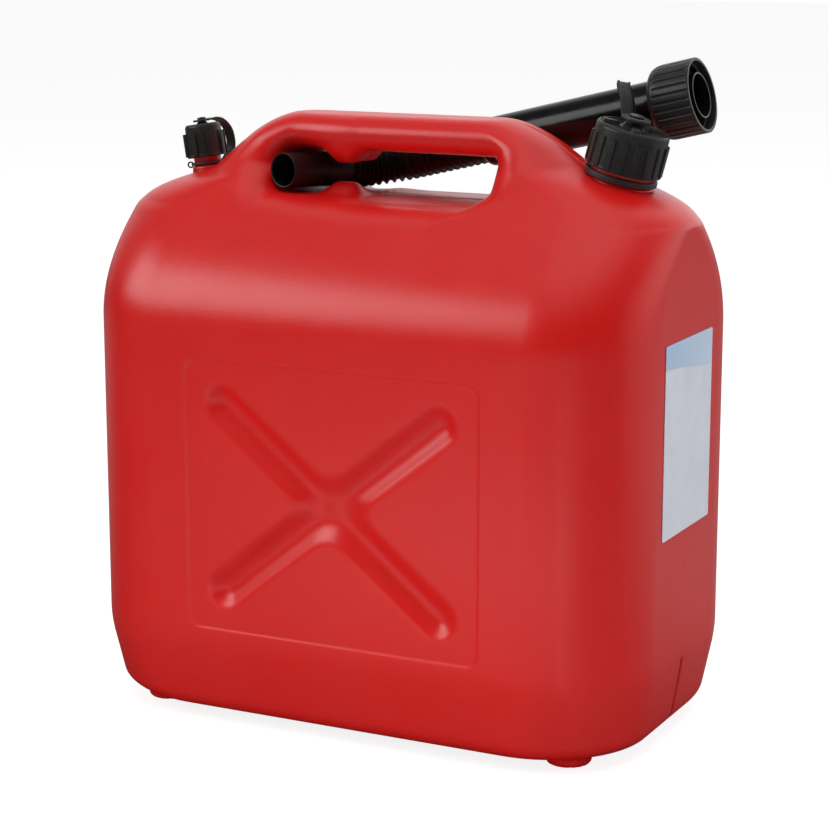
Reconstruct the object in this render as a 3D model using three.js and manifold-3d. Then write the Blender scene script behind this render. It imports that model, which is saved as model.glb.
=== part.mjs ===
// Blow-moulded fuel can with a built-in handle, two tethered screw caps and a stowed flexible spout.
// Millimetres, +Z up. +X runs along the long side to the filling neck, -Y is the front, feet on Z = 0.

import * as THREE from 'three';
import { mergeVertices } from 'three/addons/utils/BufferGeometryUtils.js';
import Module from 'manifold-3d';

const wasm = await Module();
wasm.setup();

// Can body
const BODY_LENGTH = 375;
const BODY_DEPTH = 221;
const HANDLE_TOP = 377;
const FOOT_HEIGHT = 5.5;
const FOOT_RADIUS = 14;
const FOOT_INSET_X = 46.5;
const FOOT_INSET_Y = 42;
const WALL = 2.6;
const CORNER_RADIUS = 62.7;
const LOWER_BAND = 52;
const LOWER_TAPER = 0.165;
const BOTTOM_ROUND = 12.5;
const TOP_ROUND = 15.5;
const CORNER_STEPS = 6;

// Roof from the front and back faces up to the grip
const ROOF_INSET = 50.5;
const ROOF_DROP = 54;
const ROOF_LEAN = 1.31;
const ROOF_ROUND = 45;
const GRIP_HALF_DEPTH = 24.1;
const GRIP_BLEND = 53;

// Shoulders at the two ends and the slopes of the handle above them
const SHOULDER_INSET = 22.5;
const SHOULDER_ROUND = 72;
const RIGHT_SHOULDER_DROP = 38.2;
const RIGHT_SHOULDER_LEAN = 4.165;
const RIGHT_SLOPE_INSET = 63.9;
const RIGHT_SLOPE_LEAN = 1.43;
const LEFT_SHOULDER_DROP = 43.2;
const LEFT_SHOULDER_LEAN = 5.01;
const LEFT_SLOPE_INSET = 58.9;
const LEFT_SLOPE_LEAN = 1.24;
const SLOPE_DROP = 30;
const SLOPE_BLEND = 6.5;
const ROOF_START_DROP = 120;
const SHOULDER_START_DROP = 66;
const GRIP_START_DROP = 26;

// Hand slot with a round seat and two nubs that hold the spout
const SLOT_TOP_DROP = 22.5;
const SLOT_HEIGHT = 27.5;
const SLOT_RIGHT = 68.5;
const SLOT_TOP_CORNER = 6.5;
const SLOT_BOTTOM_CORNER = 14;
const SLOT_FLARE = 24;
const SEAT_X = -61;
const NUB_X = -39;
const NUB_GAP = 11.4;
const NUB_FOOT = 14;

// Front and back panels with a sunk cross
const PANEL_WIDTH = 199;
const PANEL_HEIGHT = 170;
const PANEL_CENTRE = 148.6;
const PANEL_RADIUS = 8;
const PANEL_SINK = 0.8;
const CROSS_REACH_X = 73;
const CROSS_REACH_Z = 58.5;
const CROSS_WIDTH = 20;
const CROSS_SINK = 7;

// Side label
const LABEL_WIDTH = 79;
const LABEL_HEIGHT = 118;
const LABEL_CENTRE_Y = -2;
const LABEL_CENTRE_Z = 193.5;
const LABEL_THICKNESS = 0.25;

// Filling neck and its cap
const MAIN_INSET = 45.6;
const MAIN_DROP = 26.7;
const MAIN_TILT = 15;
const MAIN_NECK_RADIUS = 19.3;
const MAIN_NECK_WALL = 2.8;
const NECK_ROOT = 16;
const NECK_BORE_DEPTH = 24;
const MAIN_CAP_HEIGHT = 26;
const MAIN_CAP_WALL = 1.9;
const MAIN_CAP_TOP = 2.5;
const MAIN_RIB_REACH = 1.6;
const MAIN_RIBS = 18;
const MAIN_SEAL_THICKNESS = 1.8;
const MAIN_PITCH = 5;
const MAIN_THREAD_DEPTH = 1.3;
const MAIN_STUD_RADIUS = 4.2;
const MAIN_EYE_BAND = 4.6;
const MAIN_LOOP_RISE = 15.7;
const MAIN_LOOP_BOW = 2.6;
const MAIN_EYE_HEADING = 146;
const MAIN_RING_HEADING = 117;

// Vent neck and its cap
const VENT_INSET = 39;
const VENT_DROP = 32.4;
const VENT_TILT = -9;
const VENT_NECK_RADIUS = 8.8;
const VENT_NECK_WALL = 2.2;
const VENT_CAP_HEIGHT = 21.5;
const VENT_CAP_WALL = 1.9;
const VENT_CAP_TOP = 2;
const VENT_RIB_REACH = 1.8;
const VENT_RIBS = 8;
const VENT_SEAL_THICKNESS = 1.5;
const VENT_PITCH = 3.5;
const VENT_THREAD_DEPTH = 1;
const VENT_STUD_RADIUS = 2.6;
const VENT_EYE_BAND = 2.8;
const VENT_LOOP_BOW = 8.2;
const VENT_HEADING = 72;

// Spout
const NOZZLE_RADIUS = 11;
const NOZZLE_WALL = 1.4;
const NOZZLE_FRONT = 37.8;
const NOZZLE_BACK = 17;
const NOZZLE_HEADING = 75;
const NOZZLE_DIP = 3;
const BEND_RADIUS = 33;
const RIB_CREST = 12.8;
const RIB_ROOT = 10.8;
const RIB_COUNT = 21;
const BELLOWS_BORE = 9;
const TUBE_RADIUS = 15.4;
const TUBE_WALL = 2.2;
const TUBE_TILT = 13.7;
const TUBE_START = 77.3;
const NUT_LENGTH = 29;
const NUT_WALL = 2.2;
const NUT_END = 3;
const NUT_GROOVES = 24;
const NUT_PAST_NECK = 31;
const FLANGE_THICKNESS = 3;
const PLUG_RADIUS = 14.25;
const SPOUT_SEAL_THICKNESS = 1.8;

// Fits
const THREAD_CLEARANCE = 0.4;
const THREAD_EASE = 0.2;
const TURN_CLEARANCE = 0.3;
const SEAT_CLEARANCE = 2.5;
const FACE_GAP = 0.1;
const STRAP_GAP = 0.15;
const NUT_TO_CAP_GAP = 1.8;
const TUBE_TO_HANDLE_GAP = 2.6;

const HALF_LENGTH = BODY_LENGTH / 2;
const HALF_DEPTH = BODY_DEPTH / 2;
const SLOT_TOP = HANDLE_TOP - SLOT_TOP_DROP;
const SLOT_BOTTOM = SLOT_TOP - SLOT_HEIGHT;
const SEAT_Z = (SLOT_TOP + SLOT_BOTTOM) / 2;
const SEAT_RADIUS = NOZZLE_RADIUS + SEAT_CLEARANCE;
const rad = THREE.MathUtils.degToRad;
const nozzleWay = new THREE.Vector3(Math.cos(rad(NOZZLE_HEADING)), Math.sin(rad(NOZZLE_HEADING)), 0);
nozzleWay.multiplyScalar(Math.cos(rad(NOZZLE_DIP))).setZ(-Math.sin(rad(NOZZLE_DIP)));

// Solids from geometry

function signedVolume(position, corners) {
  const a = new THREE.Vector3();
  const b = new THREE.Vector3();
  const c = new THREE.Vector3();
  let sum = 0;
  for (let i = 0; i < corners.length; i += 3) {
    a.fromBufferAttribute(position, corners[i]);
    b.fromBufferAttribute(position, corners[i + 1]);
    c.fromBufferAttribute(position, corners[i + 2]);
    sum += a.dot(b.cross(c)) / 6;
  }
  return sum;
}

function toSolid(geometry) {
  const plain = geometry.clone();
  plain.deleteAttribute('normal');
  plain.deleteAttribute('uv');
  const merged = mergeVertices(plain, 1e-4);
  const index = merged.index.array;
  const corners = [];
  for (let i = 0; i < index.length; i += 3) {
    const [a, b, c] = [index[i], index[i + 1], index[i + 2]];
    if (a !== b && b !== c && c !== a) {
      corners.push(a, b, c);
    }
  }
  if (signedVolume(merged.attributes.position, corners) < 0) {
    corners.reverse();
  }
  return new wasm.Manifold(new wasm.Mesh({
    numProp: 3,
    vertProperties: new Float32Array(merged.attributes.position.array),
    triVerts: new Uint32Array(corners),
  }));
}

function toGeometry(solid) {
  const mesh = solid.getMesh();
  const geometry = new THREE.BufferGeometry();
  geometry.setAttribute('position', new THREE.BufferAttribute(new Float32Array(mesh.vertProperties), 3));
  geometry.setIndex(new THREE.BufferAttribute(new Uint32Array(mesh.triVerts), 1));
  geometry.computeVertexNormals();
  return geometry;
}

function joinAll(geometries) {
  return geometries.map(toSolid).reduce((whole, piece) => whole.add(piece));
}

// Rings of points joined into a skin: closed at both ends, or run round into a loop
function ringSkin(rings, loop, capPlane = null) {
  const points = rings.flat();
  const count = rings[0].length;
  const corners = [];
  const last = loop ? rings.length : rings.length - 1;
  for (let k = 0; k < last; k++) {
    const low = k * count;
    const high = ((k + 1) % rings.length) * count;
    for (let i = 0; i < count; i++) {
      const j = (i + 1) % count;
      corners.push(low + i, low + j, high + j, low + i, high + j, high + i);
    }
  }
  if (!loop) {
    const plane = capPlane ?? ((p) => new THREE.Vector2(p.x, p.y));
    const ends = [[0, false], [(rings.length - 1) * count, true]];
    for (const [start, far] of ends) {
      const outline = points.slice(start, start + count).map(plane);
      const forward = THREE.ShapeUtils.area(outline) > 0;
      for (const [a, b, c] of THREE.ShapeUtils.triangulateShape(outline, [])) {
        const counter = THREE.ShapeUtils.area([outline[a], outline[b], outline[c]]) > 0;
        const keep = (counter === forward) === far;
        corners.push(start + a, start + (keep ? b : c), start + (keep ? c : b));
      }
    }
  }
  const geometry = new THREE.BufferGeometry();
  geometry.setFromPoints(points);
  geometry.setIndex(corners);
  return geometry;
}

// Turned piece round the Z axis from radius and height pairs
function turned(profile, segments) {
  const points = profile.map(([r, h]) => new THREE.Vector2(r, h));
  const geometry = new THREE.LatheGeometry(points, segments);
  geometry.rotateX(Math.PI / 2);
  return geometry;
}

function turnedRing(inner, outer, low, high, segments) {
  return turned([[inner, low], [outer, low], [outer, high], [inner, high], [inner, low]], segments);
}

// Block reaching outward from the Z axis at an angle
function spoke(innerRadius, outerRadius, width, low, high, angle) {
  const block = new THREE.BoxGeometry(outerRadius - innerRadius, width, high - low);
  block.translate((innerRadius + outerRadius) / 2, 0, (low + high) / 2);
  block.rotateZ(angle);
  return block;
}

// Helical ridge that runs out at both ends; depth is negative on the inside of a cap
function threadRidge(radius, depth, pitch, start, turns) {
  const side = Math.sign(depth);
  const stepsPerTurn = 20;
  const steps = Math.round(turns * stepsPerTurn);
  const rings = [];
  for (let k = 0; k <= steps; k++) {
    const angle = (k / stepsPerTurn) * 2 * Math.PI;
    const height = start + (k / stepsPerTurn) * pitch;
    const ease = Math.min(1, k / 2, (steps - k) / 2);
    const crest = radius + depth * ease + side * 0.05;
    const root = radius - side * 0.6;
    const section = [[root, -0.3], [crest, -0.14], [crest, 0.14], [root, 0.3]];
    rings.push(section.map(([r, h]) => new THREE.Vector3(
      r * Math.cos(angle), r * Math.sin(angle), height + h * pitch)));
  }
  const plane = (p) => new THREE.Vector2(Math.hypot(p.x, p.y), p.z);
  return ringSkin(rings, false, plane);
}

function roundedPlate(width, height, radius, depth) {
  const shape = new THREE.Shape();
  const x = width / 2;
  const y = height / 2;
  shape.moveTo(x, -y + radius);
  shape.lineTo(x, y - radius);
  shape.absarc(x - radius, y - radius, radius, 0, Math.PI / 2);
  shape.absarc(-x + radius, y - radius, radius, Math.PI / 2, Math.PI);
  shape.absarc(-x + radius, -y + radius, radius, Math.PI, 1.5 * Math.PI);
  shape.absarc(x - radius, -y + radius, radius, 1.5 * Math.PI, 2 * Math.PI);
  return new THREE.ExtrudeGeometry(shape, { depth, bevelEnabled: false, curveSegments: 2 });
}

// Outer form of the can, as level sections

function softMin(a, b, blend) {
  const near = Math.max(blend - Math.abs(a - b), 0) / blend;
  return Math.min(a, b) - (near * near * blend) / 4;
}

function softMax(a, b, blend) {
  return -softMin(-a, -b, blend);
}

function quarterRound(radius, distance) {
  const inside = THREE.MathUtils.clamp(distance, 0, radius);
  return radius - Math.sqrt(radius * radius - inside * inside);
}

function roofHalfDepth(z) {
  const lean = HALF_DEPTH - ROOF_INSET - (z - (HANDLE_TOP - ROOF_DROP)) * ROOF_LEAN;
  return softMin(HALF_DEPTH, softMax(lean, GRIP_HALF_DEPTH, GRIP_BLEND), ROOF_ROUND);
}

function endReach(z, shoulderDrop, shoulderLean, slopeInset, slopeLean) {
  const shoulder = HALF_LENGTH - SHOULDER_INSET - (z - (HANDLE_TOP - shoulderDrop)) * shoulderLean;
  const slope = HALF_LENGTH - slopeInset - (z - (HANDLE_TOP - SLOPE_DROP)) * slopeLean;
  return softMin(HALF_LENGTH, softMax(shoulder, slope, SLOPE_BLEND), SHOULDER_ROUND);
}

function outerSection(z) {
  const taper = Math.max(LOWER_BAND - z, 0) * LOWER_TAPER;
  const bottom = quarterRound(BOTTOM_ROUND, FOOT_HEIGHT + BOTTOM_ROUND - z);
  const top = quarterRound(TOP_ROUND, z - (HANDLE_TOP - TOP_ROUND));
  const inset = taper + bottom + top;
  const depth = roofHalfDepth(z) - inset;
  return {
    left: endReach(z, LEFT_SHOULDER_DROP, LEFT_SHOULDER_LEAN, LEFT_SLOPE_INSET, LEFT_SLOPE_LEAN) - inset,
    right: endReach(z, RIGHT_SHOULDER_DROP, RIGHT_SHOULDER_LEAN, RIGHT_SLOPE_INSET, RIGHT_SLOPE_LEAN) - inset,
    depth,
    radius: Math.min(CORNER_RADIUS, depth * 0.98),
  };
}

function innerSection(z) {
  const above = outerSection(Math.min(z + WALL, HANDLE_TOP));
  const below = outerSection(Math.max(z - WALL, FOOT_HEIGHT));
  const depth = Math.min(above.depth, below.depth) - WALL;
  return {
    left: Math.min(above.left, below.left) - WALL,
    right: Math.min(above.right, below.right) - WALL,
    depth,
    radius: Math.min(CORNER_RADIUS - WALL, depth * 0.98),
  };
}

function sectionRing({ left, right, depth, radius }, z) {
  const centres = [
    [right - radius, depth - radius],
    [radius - left, depth - radius],
    [radius - left, radius - depth],
    [right - radius, radius - depth],
  ];
  const ring = [];
  centres.forEach(([x, y], corner) => {
    for (let i = 0; i <= CORNER_STEPS; i++) {
      const angle = (corner + i / CORNER_STEPS) * (Math.PI / 2);
      ring.push(new THREE.Vector3(x + radius * Math.cos(angle), y + radius * Math.sin(angle), z));
    }
  });
  return ring;
}

function spread(from, to, steps) {
  return Array.from({ length: steps }, (_, i) => from + ((to - from) * (i + 1)) / steps);
}

function levels(low, high, roofSteps, slopeSteps) {
  const rise = (share) => low + BOTTOM_ROUND * (1 - Math.cos((share * Math.PI) / 2));
  const fall = (share) => high - TOP_ROUND * (1 - Math.sin((share * Math.PI) / 2));
  return [
    ...[0, 0.35, 0.7, 1].map(rise),
    LOWER_BAND,
    ...spread(LOWER_BAND, HANDLE_TOP - ROOF_START_DROP, 2),
    ...spread(HANDLE_TOP - ROOF_START_DROP, HANDLE_TOP - SHOULDER_START_DROP, roofSteps),
    ...spread(HANDLE_TOP - SHOULDER_START_DROP, HANDLE_TOP - GRIP_START_DROP, slopeSteps),
    ...spread(HANDLE_TOP - GRIP_START_DROP, high - TOP_ROUND, 2),
    ...[0.25, 0.5, 0.75, 1].map(fall),
  ];
}

// Hand slot as a cutter, opening outward towards the front and back. Its seat slants with the nozzle,
// and so do the nubs behind the middle.

function slotOutline() {
  const half = NUB_GAP / 2;
  const turn = rad(50);
  const seatX = SEAT_X + SEAT_RADIUS * Math.cos(turn);
  const seatRise = SEAT_RADIUS * Math.sin(turn);
  const foot = NUB_X + NUB_FOOT;
  const shape = new THREE.Shape();
  shape.moveTo(foot, SLOT_BOTTOM);
  const low = SLOT_BOTTOM_CORNER;
  const high = SLOT_TOP_CORNER;
  shape.lineTo(SLOT_RIGHT - low, SLOT_BOTTOM);
  shape.absarc(SLOT_RIGHT - low, SLOT_BOTTOM + low, low, -Math.PI / 2, 0);
  shape.lineTo(SLOT_RIGHT, SLOT_TOP - high);
  shape.absarc(SLOT_RIGHT - high, SLOT_TOP - high, high, 0, Math.PI / 2);
  shape.lineTo(foot, SLOT_TOP);
  shape.bezierCurveTo(foot - 6, SLOT_TOP, NUB_X + 7, SEAT_Z + half, NUB_X, SEAT_Z + half);
  shape.bezierCurveTo(NUB_X - 6, SEAT_Z + half, seatX + 4, SEAT_Z + seatRise - 3, seatX, SEAT_Z + seatRise);
  shape.absarc(SEAT_X, SEAT_Z, SEAT_RADIUS, turn, 2 * Math.PI - turn);
  shape.bezierCurveTo(seatX + 4, SEAT_Z - seatRise + 3, NUB_X - 6, SEAT_Z - half, NUB_X, SEAT_Z - half);
  shape.bezierCurveTo(NUB_X + 7, SEAT_Z - half, foot - 6, SLOT_BOTTOM, foot, SLOT_BOTTOM);
  const points = shape.getPoints(4);
  return points.filter((p, i) => p.distanceTo(points[(i + 1) % points.length]) > 0.05);
}

function slotCutter(growth) {
  const outline = slotOutline();
  const count = outline.length;
  const edges = outline.map((point, i) => {
    const last = outline[(i + count - 1) % count];
    const next = outline[(i + 1) % count];
    const along = next.clone().sub(last).normalize();
    const normal = new THREE.Vector2(along.y, -along.x);
    const nub = Math.exp(-(((point.x - NUB_X) / NUB_FOOT) ** 2));
    const upward = THREE.MathUtils.smoothstep(normal.y, -0.4, 0.9);
    const open = THREE.MathUtils.lerp(0.4 + 0.6 * upward, 0.4, nub);
    const before = THREE.MathUtils.smoothstep(SEAT_X + SEAT_RADIUS - point.x, 0, SEAT_RADIUS);
    const behind = THREE.MathUtils.smoothstep(NUB_X + 1.6 * NUB_FOOT - point.x, 0, 2 * NUB_FOOT);
    return { point, normal, open, before, behind, depth: roofHalfDepth(point.y) };
  });
  const steps = [[0, 0], [0.45, 0.06], [0.75, 0.24], [0.95, 0.55], [1.4, 1.05]];
  const layers = [...steps.slice(1).reverse().map(([y, d]) => [-y, d]), ...steps];
  const rings = layers.map(([share, flare]) => edges.map(({ point, normal, open, before, behind, depth }) => {
    const out = growth + flare * SLOT_FLARE * open;
    const y = share * depth;
    const follow = (y * (y < 0 ? before : behind)) / nozzleWay.y;
    const x = point.x + follow * nozzleWay.x + normal.x * out;
    return new THREE.Vector3(x, y, point.y + follow * nozzleWay.z + normal.y * out);
  }));
  return ringSkin(rings, false, (p) => new THREE.Vector2(p.x, p.z));
}

// Sunk cross on the front and back, and the shallow panel round it

function crossCutters(growth) {
  const half = CROSS_WIDTH / 2;
  const radius = (half * half + CROSS_SINK * CROSS_SINK) / (2 * CROSS_SINK);
  const reach = Math.hypot(CROSS_REACH_X, CROSS_REACH_Z);
  const lean = Math.atan2(CROSS_REACH_X, CROSS_REACH_Z);
  const cutters = [];
  for (const face of [-1, 1]) {
    for (const way of [-1, 1]) {
      const arm = new THREE.CapsuleGeometry(radius + growth, 2 * reach, 3, 12);
      arm.rotateX(Math.PI / 2);
      arm.rotateY(way * lean);
      arm.translate(0, face * (HALF_DEPTH - CROSS_SINK + radius), PANEL_CENTRE);
      cutters.push(arm);
    }
  }
  return joinAll(cutters);
}

function panelCutters() {
  const cutters = [-1, 1].map((face) => {
    const plate = roundedPlate(PANEL_WIDTH, PANEL_HEIGHT, PANEL_RADIUS, 6);
    plate.rotateX(Math.PI / 2);
    plate.translate(0, face * (HALF_DEPTH - PANEL_SINK + 3) + 3, PANEL_CENTRE);
    return plate;
  });
  return joinAll(cutters);
}

// Sizes of a neck with its cap, worked out from the neck outward
function screwSizes(given) {
  const inner = given.neck + given.depth + THREAD_CLEARANCE;
  return {
    ...given,
    bore: given.neck - given.neckWall,
    inner,
    outer: inner + given.capWall,
    reach: inner + given.capWall + given.rib,
    ceiling: given.height - given.top,
    neckTop: given.height - given.top - given.seal - 2 * FACE_GAP,
    eyeLow: given.height + given.eyeGap,
    eyeHigh: given.height + given.eyeGap + given.eyeThickness,
    eyeInner: given.stud + TURN_CLEARANCE,
    eyeOuter: given.stud + TURN_CLEARANCE + given.eyeBand,
    ringInner: given.neck + 0.25,
    ringOuter: given.neck + 0.25 + given.ringBand,
  };
}

const main = screwSizes({
  neck: MAIN_NECK_RADIUS,
  neckWall: MAIN_NECK_WALL,
  height: MAIN_CAP_HEIGHT,
  capWall: MAIN_CAP_WALL,
  top: MAIN_CAP_TOP,
  rib: MAIN_RIB_REACH,
  ribs: MAIN_RIBS,
  ribWidth: 3.2,
  ribTurn: 5,
  seal: MAIN_SEAL_THICKNESS,
  pitch: MAIN_PITCH,
  depth: MAIN_THREAD_DEPTH,
  stud: MAIN_STUD_RADIUS,
  eyeBand: MAIN_EYE_BAND,
  eyeGap: 3.6,
  eyeThickness: 2.4,
  ringBand: 2.8,
  ringLow: -6,
  ringHigh: -2.3,
  lugs: 4,
  lugTurn: 27,
  segments: 36,
});

const vent = screwSizes({
  neck: VENT_NECK_RADIUS,
  neckWall: VENT_NECK_WALL,
  height: VENT_CAP_HEIGHT,
  capWall: VENT_CAP_WALL,
  top: VENT_CAP_TOP,
  rib: VENT_RIB_REACH,
  ribs: VENT_RIBS,
  ribWidth: 3,
  ribTurn: 0,
  seal: VENT_SEAL_THICKNESS,
  pitch: VENT_PITCH,
  depth: VENT_THREAD_DEPTH,
  stud: VENT_STUD_RADIUS,
  eyeBand: VENT_EYE_BAND,
  eyeGap: 1.3,
  eyeThickness: 1.4,
  ringBand: 1.8,
  ringLow: -4.7,
  ringHigh: -3.1,
  lugs: 0,
  lugTurn: 0,
  segments: 18,
});

function neckFrame(x, z, tilt) {
  const frame = new THREE.Group();
  frame.position.set(x, 0, z);
  frame.rotation.y = rad(tilt);
  frame.updateMatrix();
  return frame;
}

const mainFrame = neckFrame(HALF_LENGTH - MAIN_INSET, HANDLE_TOP - MAIN_DROP, MAIN_TILT);
const ventFrame = neckFrame(VENT_INSET - HALF_LENGTH, HANDLE_TOP - VENT_DROP, VENT_TILT);

function neckPost(size) {
  const root = -NECK_ROOT;
  const { neck, neckTop, segments } = size;
  const post = turned([[0, root], [neck, root], [neck, neckTop], [0, neckTop]], segments);
  const ridge = threadRidge(neck, size.depth, size.pitch, neckTop - 2.4 * size.pitch, 1.75);
  return [post, ridge];
}

function neckBore(size) {
  const root = -NECK_BORE_DEPTH;
  return turned([[0, root], [size.bore, root], [size.bore, size.height], [0, size.height]], size.segments);
}

// Level seat for the tether's ring where the handle's slope would reach into it
function ringSeat(size) {
  const reach = size.ringOuter + TURN_CLEARANCE;
  const low = size.ringLow - TURN_CLEARANCE;
  return turned([[0, low], [reach, low], [reach, size.height], [0, size.height]], size.segments);
}

function inFrame(frame, geometry) {
  return geometry.clone().applyMatrix4(frame.matrix);
}

function makeBody() {
  const low = FOOT_HEIGHT;
  const outerRings = levels(low, HANDLE_TOP, 6, 9).map((z) => sectionRing(outerSection(z), z));
  const innerLevels = levels(low + WALL, HANDLE_TOP - WALL, 4, 6);
  const innerRings = innerLevels.map((z) => sectionRing(innerSection(z), z));
  let outer = toSolid(ringSkin(outerRings, false))
    .subtract(toSolid(slotCutter(0)))
    .subtract(toSolid(inFrame(mainFrame, ringSeat(main))))
    .subtract(toSolid(inFrame(ventFrame, ringSeat(vent))));
  const additions = [
    ...neckPost(main).map((piece) => inFrame(mainFrame, piece)),
    ...neckPost(vent).map((piece) => inFrame(ventFrame, piece)),
  ];
  for (const x of [-1, 1]) {
    for (const y of [-1, 1]) {
      const edge = FOOT_RADIUS - 1.6;
      const foot = turned([[0, 0], [edge, 0], [FOOT_RADIUS, 1.6], [FOOT_RADIUS, 14], [0, 14]], 20);
      foot.translate(x * (HALF_LENGTH - FOOT_INSET_X), y * (HALF_DEPTH - FOOT_INSET_Y), 0);
      additions.push(foot);
    }
  }
  outer = outer.add(joinAll(additions));
  const cavity = toSolid(ringSkin(innerRings, false))
    .subtract(toSolid(slotCutter(WALL)))
    .subtract(crossCutters(WALL))
    .add(toSolid(inFrame(mainFrame, neckBore(main))))
    .add(toSolid(inFrame(ventFrame, neckBore(vent))));
  return toGeometry(outer.subtract(cavity).subtract(crossCutters(0)).subtract(panelCutters()));
}

// Screw cap: skirt with grip ribs, thread inside and a stud on top for the tether's eye
function makeCap(size) {
  const { inner, outer, height, ceiling, stud, eyeLow, eyeHigh } = size;
  const head = stud * 1.35;
  const shell = turned([
    [0, ceiling],
    [inner, ceiling],
    [inner, 0],
    [outer, 0],
    [outer - 0.5, height - 1.4],
    [outer - 1.7, height],
    [outer - 2.9, height],
    [outer - 2.9, height - 0.9],
    [stud * 2, height - 0.9],
    [stud * 1.25, eyeLow - TURN_CLEARANCE - 0.8],
    [stud * 1.25, eyeLow - TURN_CLEARANCE],
    [stud, eyeLow - TURN_CLEARANCE],
    [stud, eyeHigh + TURN_CLEARANCE],
    [head, eyeHigh + TURN_CLEARANCE + 0.5],
    [head - 0.7, eyeHigh + 2.2],
    [0, eyeHigh + 2.6],
  ], size.segments);
  const pieces = [shell];
  for (let i = 0; i < size.ribs; i++) {
    const angle = rad(size.ribTurn + (i * 360) / size.ribs);
    pieces.push(spoke(outer - 0.9, size.reach, size.ribWidth, 0.8, height * 0.74, angle));
  }
  for (let i = 0; i < size.lugs; i++) {
    const angle = rad(size.lugTurn + (i * 360) / size.lugs);
    pieces.push(spoke(stud * 2.1, outer - 3.4, 5.2, height - 1.2, height + 1.5, angle));
  }
  const threadStart = size.neckTop - 2.9 * size.pitch;
  pieces.push(threadRidge(inner, THREAD_EASE - size.depth, size.pitch, threadStart, 1.4));
  return toGeometry(joinAll(pieces));
}

function makeDisc(radius, low, high, segments) {
  return toGeometry(toSolid(turned([[0, low], [radius, low], [radius, high], [0, high]], segments)));
}

function makeRing(inner, outer, low, high, segments) {
  return toGeometry(toSolid(turnedRing(inner, outer, low, high, segments)));
}

// Flat strap along a curve round the neck's axis, through points given as reach, height and heading
function makeStrap(stops, width, thickness) {
  const curve = new THREE.CatmullRomCurve3(stops.map(([reach, height, heading]) => new THREE.Vector3(
    reach * Math.cos(rad(heading)), reach * Math.sin(rad(heading)), height)));
  const [eyeHeading, ringHeading] = [stops[0][2], stops[stops.length - 1][2]];
  const steps = 26;
  const rings = [];
  for (let k = 0; k <= steps; k++) {
    const point = curve.getPointAt(k / steps);
    const tangent = curve.getTangentAt(k / steps);
    const heading = rad(THREE.MathUtils.lerp(eyeHeading, ringHeading, k / steps));
    const across = new THREE.Vector3(-Math.sin(heading), Math.cos(heading), 0);
    across.addScaledVector(tangent, -across.dot(tangent)).normalize();
    const normal = tangent.clone().cross(across);
    const corners = [[-1, -1], [1, -1], [1, 1], [-1, 1]];
    rings.push(corners.map(([side, face]) => point.clone()
      .addScaledVector(normal, (face * thickness) / 2)
      .addScaledVector(across, (side * width) / 2)));
  }
  const start = rad(eyeHeading);
  const plane = (p) => new THREE.Vector2(p.y * Math.cos(start) - p.x * Math.sin(start), p.z);
  return toGeometry(toSolid(ringSkin(rings, false, plane)));
}

function mainStrapStops() {
  const eye = main.eyeOuter + STRAP_GAP;
  const eyeMid = (main.eyeLow + main.eyeHigh) / 2;
  const ring = main.ringOuter + STRAP_GAP;
  const ringMid = (main.ringLow + main.ringHigh) / 2;
  const side = main.reach + MAIN_LOOP_BOW;
  const run = side - eye;
  const rise = MAIN_LOOP_RISE;
  return [
    [eye, eyeMid, MAIN_EYE_HEADING],
    [eye + run * 0.07, eyeMid + rise * 0.01, MAIN_EYE_HEADING],
    [eye + run * 0.17, eyeMid + rise * 0.2, MAIN_EYE_HEADING],
    [eye + run * 0.39, eyeMid + rise * 0.6, MAIN_EYE_HEADING],
    [eye + run * 0.63, eyeMid + rise * 0.88, MAIN_EYE_HEADING],
    [eye + run * 0.83, eyeMid + rise, MAIN_EYE_HEADING - 4],
    [side, eyeMid + rise * 0.84, MAIN_EYE_HEADING - 9],
    [side, eyeMid + rise * 0.45, MAIN_RING_HEADING + 12],
    [side, eyeMid, MAIN_RING_HEADING + 5],
    [side, main.height * 0.75, MAIN_RING_HEADING],
    [side, main.height * 0.3, MAIN_RING_HEADING],
    [side - MAIN_LOOP_BOW * 0.5, 0, MAIN_RING_HEADING],
    [ring + MAIN_LOOP_BOW * 0.6, ringMid + 0.1, MAIN_RING_HEADING],
    [ring, ringMid, MAIN_RING_HEADING],
  ];
}

function ventStrapStops() {
  const eye = vent.eyeOuter + STRAP_GAP;
  const eyeMid = (vent.eyeLow + vent.eyeHigh) / 2;
  const ring = vent.ringOuter + STRAP_GAP;
  const ringMid = (vent.ringLow + vent.ringHigh) / 2;
  const side = vent.reach + VENT_LOOP_BOW;
  return [
    [eye, eyeMid],
    [eye + VENT_LOOP_BOW * 0.5, eyeMid + 0.4],
    [side - VENT_LOOP_BOW * 0.8, eyeMid - 1.4],
    [side - VENT_LOOP_BOW * 0.2, vent.height * 0.78],
    [side, vent.height * 0.45],
    [side - VENT_LOOP_BOW * 0.15, vent.height * 0.12],
    [ring + VENT_LOOP_BOW * 0.5, ringMid + 0.4],
    [ring, ringMid],
  ].map(([reach, height]) => [reach, height, VENT_HEADING]);
}

// Spout: the nozzle lies through the seat, the bellows turn behind the grip, the tube runs to the nut

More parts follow.
